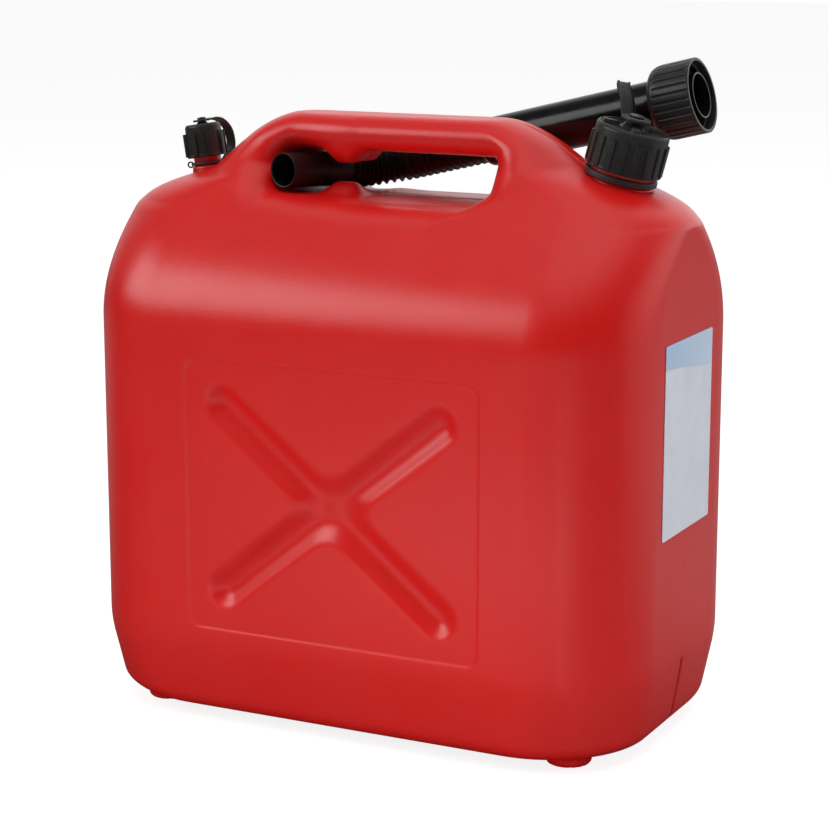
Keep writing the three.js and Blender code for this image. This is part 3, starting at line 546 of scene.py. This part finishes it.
def make_cap(name, place, body, material, size):
    inner, outer, height, stud = size["inner"], size["outer"], size["height"], size["stud"]
    low, high, ceiling = size["eye_low"], size["eye_high"], size["ceiling"]
    head, foot = stud * 1.16, outer + 0.35
    profile = rounded([
        (0, ceiling), (inner, ceiling, 0.8), (inner, 0, 0.3), (foot, 0, 0.3), (foot, 1.5, 0.4),
        (outer, 2, 0.3), (outer - 0.5, height - 1.4, 1.3), (outer - 1.7, height, 0.8),
        (outer - 2.7, height, 0.4), (outer - 2.9, height - 0.9, 0.4), (stud * 2, height - 0.9, 0.7),
        (stud * 1.3, low - 1.2, 0.8), (stud * 1.25, low - 0.3, 0.2), (stud, low - 0.3, 0.1),
        (stud, high + 0.25, 0.2), (head, high + 0.45, 0.3), (head - 0.3, high + 1.2, 0.6), (0, high + 1.6),
    ])

    def lugs(radius, level, angle):
        turn = 2 * math.pi / size["lugs"]
        swing = (angle - size["lug_phase"] + turn / 2) % turn - turn / 2
        across = np.abs(radius * np.sin(swing))
        bar = ease((2.8 - across) / 0.5) * ease((radius - stud * 2.15) / 0.8)
        bar = bar * ease((outer - 3.3 - radius) / 0.5)
        return radius, level + 2.4 * bar * ((level > height - 1.3) & (radius < outer - 2.9))

    shell = turned_mesh(dense(profile, 1.0), size["segments"], lugs if size["lugs"] else None)
    pads, rim = [], outer + size["pad_rise"]
    for i in range(size["pads"]):
        angle = size["pad_phase"] + i * 2 * math.pi / size["pads"]
        pads.append(pad_mesh(outer - 1.2, rim, size["pad_half"], 0.9, height * 0.74, angle))
    pitch = size["pitch"]
    thread = helix_mesh(inner, 0.2 - size["depth"], pitch, size["neck_top"] - 2.9 * pitch, 1.4)
    piece = add_mesh(name, *joined(shell, thread, *pads), material, place)
    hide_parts(name.replace("_shell", ""))
    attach(piece, body)


def screw_size(neck, wall, depth, height, cap_wall, top, rib, seal, pitch, stud,
               eye_band, eye_gap, eye_thick, **more):
    """Sizes of a neck, its cap and its tether, from those that differ between the two."""
    inner = neck + depth + 0.4
    return dict(
        neck=neck, bore=neck - wall, depth=depth, height=height, pitch=pitch, stud=stud, inner=inner,
        outer=inner + cap_wall, reach=inner + cap_wall + rib, ceiling=height - top, seal=seal,
        neck_top=height - top - seal - 0.2, eye_low=height + eye_gap, eye_high=height + eye_gap + eye_thick,
        eye_inner=stud + 0.3, eye_outer=stud + 0.3 + eye_band, **more)


# A ring is its inner and outer radius and its lower and upper height.
MAIN = screw_size(
    neck=19.3, wall=2.8, depth=1.3, pitch=5, height=26, cap_wall=1.9, top=2.5, rib=1.6, seal=1.8,
    stud=4.2, eye_band=4.6, eye_gap=3.6, eye_thick=2.4, segments=180,
    pads=18, pad_half=2.0, pad_rise=0.9, pad_phase=math.radians(5), lugs=4, lug_phase=math.radians(27),
    ring=(19.55, 22.35, -6.0, -2.3), ring_fillet=1.1, eyelet=None)
VENT = screw_size(
    neck=8.8, wall=2.2, depth=1.0, pitch=3.5, height=21.5, cap_wall=1.9, top=2, rib=1.8, seal=1.5,
    stud=2.6, eye_band=2.8, eye_gap=1.3, eye_thick=1.4, segments=96,
    pads=8, pad_half=1.5, pad_rise=1.7, pad_phase=0, lugs=0,
    ring=(9.05, 10.85, -4.7, -3.1), ring_fillet=0.7, eyelet=207)


def eyelet_mesh(heading_deg, reach, level):
    """Points and faces of a small upright loop that stands out from a ring."""
    points, faces = turned_mesh(rounded([
        (1.7, -0.5), (2.2, -0.5, 0.45), (2.2, 0.5, 0.45), (1.2, 0.5, 0.45), (1.2, -0.5, 0.45), (1.7, -0.5),
    ]), 24)
    upright = np.array(points)[:, [0, 2, 1]] * (1, -1, 1) + (reach, 0, level)
    return upright @ np.array(Matrix.Rotation(math.radians(heading_deg), 3, "Z")).T, faces


def make_ring(name, place, body, material, inner, outer, low, high, fillet, slot, segments=72, eyelet=None):
    mesh = turned_mesh(rounded([
        ((inner + outer) / 2, low), (outer, low, fillet), (outer, high, fillet), (inner, high, fillet),
        (inner, low, fillet), ((inner + outer) / 2, low),
    ]), segments)
    if eyelet:
        mesh = joined(mesh, eyelet_mesh(eyelet, outer + 0.5, (low + high) / 2))
    points, faces = mesh
    piece = add_mesh(name + "_piece", points, faces, material, place)
    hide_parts(name)
    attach(piece, body)


def make_disc(name, place, body, material, radius, low, high):
    points, faces = turned_mesh(rounded([(0, low), (radius, low, 0.4), (radius, high, 0.4), (0, high)]), 64)
    piece = add_mesh(name + "_piece", points, faces, material, place)
    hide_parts(name)
    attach(piece, body)


def smooth_curve(points, steps):
    """Points of a smooth curve through the given ones, evenly spread."""
    points = np.asarray(points, float)
    padded = np.vstack([2 * points[0] - points[1], points, 2 * points[-1] - points[-2]])
    fine = []
    for a, b, c, d in zip(padded, padded[1:], padded[2:], padded[3:]):
        for t in np.linspace(0, 1, 24, endpoint=False):
            fine.append(0.5 * (2 * b + (c - a) * t + (2 * a - 5 * b + 4 * c - d) * t * t
                               + (3 * b - a - 3 * c + d) * t ** 3))
    fine = np.array(fine + [points[-1]])
    length = np.concatenate([[0], np.cumsum(np.linalg.norm(np.diff(fine, axis=0), axis=1))])
    even = np.linspace(0, length[-1], steps + 1)
    return np.stack([np.interp(even, length, fine[:, n]) for n in range(fine.shape[1])], -1)


def make_strap(name, place, material, stops, width, thick):
    """Flat strap with beads, through (reach, height, heading) stops round the neck's axis."""
    reach, height, turn = np.asarray(stops, float).T
    turn = np.radians(turn)
    path = smooth_curve(np.stack([reach * np.cos(turn), reach * np.sin(turn), height, turn], -1), 110)
    path, turn = path[:, :3], path[:, 3]
    along = np.gradient(path, axis=0)
    along /= np.linalg.norm(along, axis=1, keepdims=True)
    across = np.stack([-np.sin(turn), np.cos(turn), 0 * turn], -1)
    across -= (across * along).sum(1, keepdims=True) * along
    across /= np.linalg.norm(across, axis=1, keepdims=True)
    out = np.cross(along, across)
    half, bead, thin = width / 2, thick / 2, thick * 0.28
    outline = [
        (-half, -bead * 0.5), (-half + bead * 0.5, -bead), (-half + bead * 1.2, -bead),
        (-half + bead * 1.7, -thin), (-bead * 0.9, -thin), (-bead * 0.4, -bead * 0.8),
        (bead * 0.4, -bead * 0.8), (bead * 0.9, -thin), (half - bead * 1.7, -thin),
        (half - bead * 1.2, -bead), (half - bead * 0.5, -bead), (half, -bead * 0.5),
    ]
    outline = np.array(outline + [(x, -y) for x, y in reversed(outline)])
    points = path[:, None] + across[:, None] * outline[:, :1] + out[:, None] * outline[:, 1:]
    count = len(outline)
    faces = ring_faces(len(path), count, False)
    faces += [tuple(range(count - 1, -1, -1)), tuple(range(count * (len(path) - 1), count * len(path)))]
    piece = add_mesh(name + "_piece", points.reshape(-1, 3), faces, material, place)
    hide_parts(name)
    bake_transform(piece)


def strap_ends(size):
    """Reach and height of the strap's ends at the eye and at the ring."""
    eye, middle = size["eye_outer"] + PLAY, (size["eye_low"] + size["eye_high"]) / 2
    ring, level = size["ring"][1] + PLAY, (size["ring"][2] + size["ring"][3]) / 2
    return eye, middle, ring, level


def main_stops(size):
    """Stops of the filling cap's strap, which rises from the eye before it comes down beside the cap."""
    eye, middle, ring, level = strap_ends(size)
    rise, bow, from_eye, to_ring = 15.7, 2.6, 146, 117
    side, height = size["reach"] + bow, size["height"]
    run = side - eye
    return [
        (eye, middle, from_eye), (eye + run * 0.07, middle + rise * 0.01, from_eye),
        (eye + run * 0.17, middle + rise * 0.2, from_eye), (eye + run * 0.39, middle + rise * 0.6, from_eye),
        (eye + run * 0.63, middle + rise * 0.88, from_eye), (eye + run * 0.83, middle + rise, from_eye - 4),
        (side, middle + rise * 0.84, from_eye - 9), (side, middle + rise * 0.45, to_ring + 12),
        (side, middle, to_ring + 5), (side, height * 0.75, to_ring), (side, height * 0.3, to_ring),
        (side - bow * 0.5, 0, to_ring), (ring + bow * 0.6, level + 0.1, to_ring), (ring, level, to_ring),
    ]


def vent_stops(size):
    """Stops of the vent cap's strap, a plain bow."""
    eye, middle, ring, level = strap_ends(size)
    bow, turn = 8.2, 72
    side, height = size["reach"] + bow, size["height"]
    stops = [
        (eye, middle), (eye + bow * 0.5, middle + 0.4), (side - bow * 0.8, middle - 1.4),
        (side - bow * 0.2, height * 0.78), (side, height * 0.45), (side - bow * 0.15, height * 0.12),
        (ring + bow * 0.5, level + 0.4), (ring, level),
    ]
    return [(reach, height, turn) for reach, height in stops]


def make_screw_set(prefix, place, size, looks, stops, width, thick):
    make_neck(prefix + "_neck", place, size, looks["red"])
    make_cap(prefix + "_cap_shell", place, prefix + "_cap", looks["cap"], size)
    seat = size["neck_top"] + 0.1
    make_disc(prefix + "_cap_seal", place, prefix + "_cap", looks["seal"], size["inner"] - 0.4,
              seat, seat + size["seal"])
    tether, eye = looks["tether"], prefix + "_eye"
    make_ring(prefix + "_tether_ring", place, "can", tether, *size["ring"], size["ring_fillet"],
              "black_tether", eyelet=size["eyelet"])
    low, high = size["eye_low"], size["eye_high"]
    make_ring(prefix + "_tether_eye", place, eye, tether, size["eye_inner"], size["eye_outer"], low, high,
              0.48 * (high - low), "black_tether")
    make_strap(prefix + "_tether_strap", place, tether, stops, width, thick)


# Spout


def make_nozzle(material):
    back, front = NOZZLE_BACK - PLAY, NOZZLE_FRONT
    radius, bore = NOZZLE_RADIUS, NOZZLE_RADIUS - 1.3
    points, faces = turned_mesh(rounded([
        (bore + 0.6, front), (radius - 0.1, front, 0.3), (radius, front + 1, 0.3), (radius, back - 5, 2),
        (RIB_ROOT - 0.2, back - 2, 1), (RIB_ROOT - 0.2, back, 0.2), (BELLOWS_BORE, back, 0.2),
        (9.2, back - 4, 1), (bore - 0.2, front + 14, 0.5), (bore - 0.6, front + 13.4, 0.2),
        (bore - 0.6, front + 12.2, 0.2), (bore - 0.1, front + 11.6, 0.2), (bore, front + 0.4, 0.3),
        (bore + 0.6, front),
    ]), 72)
    piece = add_mesh("spout_nozzle_piece", points, faces, material, NOZZLE_FRAME)
    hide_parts("spout_nozzle")
    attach(piece, "nozzle")


def bellows_line():
    """Function that gives a point and a direction along the bellows, its turning axis, and its length."""
    axis = np.cross(NOZZLE_WAY, TUBE_WAY)
    angle = math.atan2(np.linalg.norm(axis), NOZZLE_WAY @ TUBE_WAY)
    axis = axis / np.linalg.norm(axis)
    reach = BEND_RADIUS * math.tan(angle / 2)
    lead = float((BEND_POINT - SEAT) @ NOZZLE_WAY) - reach - NOZZLE_BACK
    arc = BEND_RADIUS * angle
    start = SEAT + NOZZLE_WAY * NOZZLE_BACK
    bend = start + NOZZLE_WAY * lead
    inward = np.cross(axis, NOZZLE_WAY)

    def at(distance):
        if distance < lead:
            return start + NOZZLE_WAY * distance, NOZZLE_WAY
        turn = min(distance - lead, arc) / BEND_RADIUS
        way = NOZZLE_WAY * math.cos(turn) + inward * math.sin(turn)
        point = bend + BEND_RADIUS * (NOZZLE_WAY * math.sin(turn) + inward * (1 - math.cos(turn)))
        return point + way * max(distance - lead - arc, 0), way

    return at, axis, lead + arc + TUBE_START - reach


def make_bellows(material):
    at, axis, length = bellows_line()
    sides, bore_steps = 48, 40
    stops = []
    swell = RIB_CREST - RIB_ROOT
    for k in range(RIBS):
        for share, part in RIB_SHAPE:
            stops.append(((k + share) / RIBS * length, RIB_ROOT + part * swell))
    stops.append((length, RIB_ROOT))
    stops += [(length * (1 - k / bore_steps), BELLOWS_BORE) for k in range(bore_steps + 1)]
    angles = np.arange(sides)[:, None] * 2 * math.pi / sides
    points = []
    for distance, radius in stops:
        point, way = at(distance)
        across = np.cross(axis, way)
        points.append(point + radius * (np.cos(angles) * across + np.sin(angles) * axis))
    faces = ring_faces(len(stops), sides, True)
    piece = add_mesh("spout_bellows_piece", np.vstack(points), faces, material)
    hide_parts("spout_bellows")
    first, last = at(0)[0], at(length)[0]
    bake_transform(piece)


def make_tube(material):
    start, mouth = TUBE_START + PLAY, NUT_MOUTH - 0.4
    flange = NUT_MOUTH - NUT_LENGTH + 3.15
    radius, bore = TUBE_RADIUS, TUBE_RADIUS - 2.2
    points, faces = turned_mesh(rounded([
        (RIB_ROOT, start), (RIB_CREST, start, 0.5), (RIB_CREST, start + 1.5, 0.6), (radius, start + 4.5, 2),
        (radius, flange, 0.2), (FLANGE_RADIUS, flange, 0.4), (FLANGE_RADIUS, flange + FLANGE_THICK, 0.4),
        (PLUG_RADIUS, flange + FLANGE_THICK, 0.2), (PLUG_RADIUS, mouth, 0.4), (bore - 0.2, mouth, 0.4),
        (bore - 0.2, start + 9, 1), (BELLOWS_BORE, start + 4, 1), (BELLOWS_BORE, start, 0.3),
        (RIB_ROOT, start),
    ]), 96)
    piece = add_mesh("spout_tube_piece", points, faces, material, TUBE_FRAME)
    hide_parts("spout_tube")
    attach(piece, "tube")


def make_nut(material):
    low, high = NUT_MOUTH - NUT_LENGTH, NUT_MOUTH
    radius, end, collar = NUT_RADIUS, low + 3, 15.8
    profile = rounded([
        (17, low), (radius - 4.6, low, 1.5), (radius - 1.5, low + 2.0, 2.6), (radius, low + 6.2, 2.6),
        (radius, high, 0.6), (NUT_BORE, high, 0.5), (NUT_BORE, end, 0.5), (collar, end, 0.3),
        (collar, low, 0.3), (17, low),
    ])

    def relief(r, level, angle):
        period = 2 * math.pi / NUT_GROOVES
        off = np.abs((angle + period) % period - period / 2) * radius
        cut = ease((0.8 - off) / 0.45) * ease((level - low - 5.4) / 0.9) * ease((high - 1.2 - level) / 0.7)
        return r - 0.85 * cut * (r > radius - 0.6), level

    shell = turned_mesh(dense(profile, 1.3), 420, relief)
    thread = helix_mesh(NUT_BORE, -1.1, MAIN["pitch"], high - 12.5, 1.9)
    piece = add_mesh("spout_nut_piece", *joined(shell, thread), material, TUBE_FRAME)
    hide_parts("spout_nut")
    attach(piece, "nut")


# Label


def make_label(material):
    (low, high), (bottom, top) = LABEL_Y, LABEL_Z
    corner = LABEL_CORNER
    outline = []
    for cy, cz, start in ((high, top, 0), (low, top, 90), (low, bottom, 180), (high, bottom, 270)):
        y = cy - corner * (1 if cy == high else -1)
        z = cz - corner * (1 if cz == top else -1)
        for a in range(5):
            turn = math.radians(start + a * 22.5)
            outline.append((y + corner * math.cos(turn), z + corner * math.sin(turn)))
    count = len(outline)
    points = []
    for level, bevel in ((-0.28, 0), (0.2, 0), (0.25, 0.05)):
        points += [(LABEL_FACE + level, y + (bevel if y < 0 else -bevel), z) for y, z in outline]
    faces = ring_faces(3, count, False)
    faces += [tuple(range(count - 1, -1, -1)), tuple(range(2 * count, 3 * count))]
    piece = add_mesh("label_film", points, faces, material)
    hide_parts("label")
    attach(piece, "can")


# Materials


def set_range(node, low, high, to_low, to_high):
    """Sets what a map range node turns into what."""
    keys = ("From Min", "From Max", "To Min", "To Max")
    for key, number in zip(keys, (low, high, to_low, to_high)):
        node.inputs[key].default_value = number


class Look:
    """A procedural material with short names for its nodes."""

    def __init__(self, name, roughness):
        self.material = bpy.data.materials.new(name)
        self.material.use_nodes = True
        self.nodes = self.material.node_tree.nodes
        self.links = self.material.node_tree.links
        self.shader = self.nodes["Principled BSDF"]
        self.shader.inputs["Roughness"].default_value = roughness
        self.place = self.add("ShaderNodeTexCoord").outputs["Object"]

    def add(self, kind, **settings):
        node = self.nodes.new(kind)
        for key, value in settings.items():
            setattr(node, key, value)
        return node

    def link(self, a, b):
        self.links.new(a, b)

    def noise(self, scale, detail=3, roughness=0.55, stretch=None):
        node = self.add("ShaderNodeTexNoise")
        node.inputs["Scale"].default_value = scale
        node.inputs["Detail"].default_value = detail
        node.inputs["Roughness"].default_value = roughness
        place = self.place
        if stretch:
            mapping = self.add("ShaderNodeMapping")
            mapping.inputs["Scale"].default_value = stretch
            self.link(place, mapping.inputs["Vector"])
            place = mapping.outputs["Vector"]
        self.link(place, node.inputs["Vector"])
        return node.outputs["Fac"]

    def spread(self, value, low, high, to_low, to_high):
        node = self.add("ShaderNodeMapRange")
        set_range(node, low, high, to_low, to_high)
        self.link(value, node.inputs["Value"])
        return node.outputs["Result"]

    def math(self, kind, a, b):
        node = self.add("ShaderNodeMath", operation=kind)
        for socket, value in zip(node.inputs, (a, b)):
            if isinstance(value, (int, float)):
                socket.default_value = value
            else:
                self.link(value, socket)
        return node.outputs["Value"]

    def mix(self, share, a, b):
        node = self.add("ShaderNodeMix", data_type="RGBA")
        factor, first, second = node.inputs[0], node.inputs[6], node.inputs[7]
        self.link(share, factor)
        for socket, value in ((first, a), (second, b)):
            if isinstance(value, tuple):
                socket.default_value = (*value, 1)
            else:
                self.link(value, socket)
        return node.outputs[2]

    def bump(self, height, strength, distance, under=None):
        node = self.add("ShaderNodeBump")
        node.inputs["Strength"].default_value = strength
        node.inputs["Distance"].default_value = distance
        self.link(height, node.inputs["Height"])
        if under is not None:
            self.link(under, node.inputs["Normal"])
        return node.outputs["Normal"]


def red_plastic():
    look = Look("red_polyethylene", 0.36)
    broad = look.spread(look.noise(9, 3), 0.3, 0.7, 0, 1)
    streak = look.spread(look.noise(40, 3, 0.55, (1, 1, 0.12)), 0.35, 0.65, 0, 1)
    fine = look.spread(look.noise(140, 4), 0.35, 0.65, 0, 1)
    colour = look.mix(broad, (0.585, 0.0060, 0.0046), (0.615, 0.0072, 0.0056))
    colour = look.mix(look.math("MULTIPLY", streak, 0.3), colour, (0.56, 0.0050, 0.0038))
    colour = look.mix(look.math("MULTIPLY", fine, 0.2), colour, (0.64, 0.0095, 0.0080))
    look.link(colour, look.shader.inputs["Base Color"])
    haze = look.math("ADD", look.spread(look.noise(30, 4), 0.3, 0.7, 0.29, 0.34),
                     look.math("MULTIPLY", fine, 0.02))
    look.link(haze, look.shader.inputs["Roughness"])
    peel = look.bump(look.noise(650, 3, 0.5), 0.22, 0.0004)
    grain = look.bump(look.noise(1500, 2), 0.1, 0.0002, peel)
    look.link(grain, look.shader.inputs["Normal"])
    look.shader.inputs["Specular IOR Level"].default_value = 0.9
    return look.material


def black_plastic(name, tone, roughness, grain):
    look = Look(name, roughness)
    cloud = look.spread(look.noise(60, 4), 0.3, 0.7, 0, 1)
    shade = tuple(channel * 1.5 for channel in tone)
    look.link(look.mix(cloud, tone, shade), look.shader.inputs["Base Color"])
    look.link(look.spread(look.noise(180, 4), 0.3, 0.7, roughness - 0.05, roughness + 0.06),
              look.shader.inputs["Roughness"])
    look.link(look.bump(look.noise(1400, 2), grain, 0.0003), look.shader.inputs["Normal"])
    return look.material


def label_print():
    look = Look("label_print", 0.34)
    axes = look.add("ShaderNodeSeparateXYZ")
    look.link(look.place, axes.inputs["Vector"])
    y, z = axes.outputs["Y"], axes.outputs["Z"]
    wave = look.math("MULTIPLY", look.math("SINE", look.math("MULTIPLY", y, 34), 0), 0.004)
    header = look.spread(look.math("ADD", z, wave), 0.2335, 0.2345, 0, 1)
    pale = look.mix(look.spread(look.noise(50, 3), 0.3, 0.7, 0, 1), (0.66, 0.68, 0.76), (0.72, 0.74, 0.82))
    blue = look.mix(look.spread(y, -0.04, 0.04, 0, 1), (0.42, 0.56, 0.76), (0.55, 0.66, 0.82))
    look.link(look.mix(header, pale, blue), look.shader.inputs["Base Color"])
    look.link(look.spread(look.noise(300, 2), 0.3, 0.7, 0.3, 0.38), look.shader.inputs["Roughness"])
    look.link(look.bump(look.noise(700, 2), 0.05, 0.0002), look.shader.inputs["Normal"])
    return look.material


# Stage


def make_world():
    """White to the camera; to the part, a studio that is dim in front and brighter above and behind."""
    world = bpy.data.worlds.new("studio")
    world.use_nodes = True
    nodes, links = world.node_tree.nodes, world.node_tree.links
    axes = nodes.new("ShaderNodeSeparateXYZ")
    links.new(nodes.new("ShaderNodeTexCoord").outputs["Generated"], axes.inputs["Vector"])

    def ramp(axis, low, high, to_low, to_high):
        node = nodes.new("ShaderNodeMapRange")
        set_range(node, low, high, to_low, to_high)
        links.new(axes.outputs[axis], node.inputs["Value"])
        return node.outputs["Result"]

    level = nodes.new("ShaderNodeMath")
    links.new(ramp("Z", 0.0, 1.0, 0.0, 0.12), level.inputs[0])
    links.new(ramp("Y", 0.2, 1.0, 0.0, 1.1), level.inputs[1])
    seen = nodes.new("ShaderNodeMix")
    links.new(nodes.new("ShaderNodeLightPath").outputs["Is Camera Ray"], seen.inputs[0])
    links.new(level.outputs["Value"], seen.inputs[2])
    seen.inputs[3].default_value = 1.0
    background = nodes["Background"]
    background.inputs["Color"].default_value = (1, 1, 1, 1)
    links.new(seen.outputs[0], background.inputs["Strength"])
    bpy.context.scene.world = world


def make_floor():
    """Pale floor that shows white to the camera with the part's shadow on it."""
    look = Look("pale_floor", 0.9)
    rays = look.add("ShaderNodeLightPath")
    tone = look.mix(look.noise(3, 2), (0.70, 0.70, 0.70), (0.73, 0.73, 0.73))
    axes = look.add("ShaderNodeSeparateXYZ")
    look.link(look.place, axes.inputs["Vector"])
    behind = look.spread(axes.outputs["Y"], -0.1, 0.3, 0, 1)
    reflected = look.mix(behind, (0.02, 0.02, 0.02), (0.30, 0.30, 0.30))
    seen = look.mix(rays.outputs["Is Diffuse Ray"], tone, (0.62, 0.62, 0.62))
    look.link(look.mix(rays.outputs["Is Glossy Ray"], seen, reflected), look.shader.inputs["Base Color"])
    look.shader.inputs["Specular IOR Level"].default_value = 0.1
    glow = look.add("ShaderNodeEmission")
    glow.inputs["Strength"].default_value = 1.7
    both = look.add("ShaderNodeMixShader")
    look.link(look.math("MULTIPLY", rays.outputs["Is Camera Ray"], 0.5), both.inputs[0])
    look.link(look.shader.outputs["BSDF"], both.inputs[1])
    look.link(glow.outputs["Emission"], both.inputs[2])
    look.link(both.outputs["Shader"], look.nodes["Material Output"].inputs["Surface"])
    reach = 12.0
    mesh = bpy.data.meshes.new("floor")
    corners = [(-reach, -reach, 0), (reach, -reach, 0), (reach, reach, 0), (-reach, reach, 0)]
    mesh.from_pydata(corners, [], [(0, 1, 2, 3)])
    mesh.materials.append(look.material)
    floor = bpy.data.objects.new("floor", mesh)
    bpy.context.scene.collection.objects.link(floor)


def make_lamps():
    """A low soft box at the front left, and fills that leave no reflection."""
    middle = Vector((0, 0, 0.25))
    for name, way, far, size, power, glossy in (
        ("soft_box", (-0.66, -0.555, 0.5), 2.2, (1.9, 1.15), 16.5, True),
        ("front_fill", (0.2, -0.97, -0.15), 1.2, (1.6, 0.2), 2.2, False),
        ("low_fill", (0.05, -0.47, -0.22), 0.52, (0.7, 0.05), 0.75, False),
        ("top_fill", (0.1, -0.1, 1.0), 2.5, (2.4, 2.4), 56, False),
        ("right_fill", (0.9, 0.3, 0.2), 2.5, (1.6, 1.0), 17.5, False),
    ):
        data = bpy.data.lights.new(name, "AREA")
        data.shape = "RECTANGLE"
        data.size, data.size_y = size
        data.energy = power
        lamp = bpy.data.objects.new(name, data)
        lamp.location = middle + Vector(way).normalized() * far
        lamp.rotation_euler = (-Vector(way)).to_track_quat("-Z", "Y").to_euler()
        lamp.visible_glossy = glossy
        bpy.context.scene.collection.objects.link(lamp)


def make_stage():
    make_world()
    make_floor()
    make_lamps()
    bpy.context.scene.view_settings.view_transform = "Standard"


def main():
    make_camera()
    make_stage()
    looks = {
        "red": red_plastic(),
        "cap": black_plastic("black_cap_plastic", (0.017, 0.017, 0.0166), 0.36, 0.2),
        "nut": black_plastic("black_nut_plastic", (0.018, 0.018, 0.0177), 0.33, 0.2),
        "tether": black_plastic("black_tether_plastic", (0.026, 0.026, 0.0255), 0.42, 0.15),
        "tube": black_plastic("black_tube_plastic", (0.004, 0.004, 0.004), 0.17, 0.05),
        "bellows": black_plastic("black_bellows_plastic", (0.0035, 0.0035, 0.0035), 0.42, 0.12),
        "seal": black_plastic("seal_rubber", (0.02, 0.02, 0.022), 0.75, 0.3),
    }
    make_body(looks["red"])
    make_label(label_print())
    make_screw_set("main", MAIN_FRAME, MAIN, looks, main_stops(MAIN), 8.2, 1.8)
    make_screw_set("vent", VENT_FRAME, VENT, looks, vent_stops(VENT), 8.2, 1.4)
    make_nozzle(looks["bellows"])
    make_bellows(looks["bellows"])
    make_tube(looks["tube"])
    make_nut(looks["nut"])
    flange = NUT_MOUTH - NUT_LENGTH + 6.15
    make_ring("spout_seal", TUBE_FRAME, "tube", looks["seal"], PLUG_RADIUS + 0.2, FLANGE_RADIUS - 0.2,
              flange + 0.1, flange + 1.9, 0.4, "seal", 64)


main()
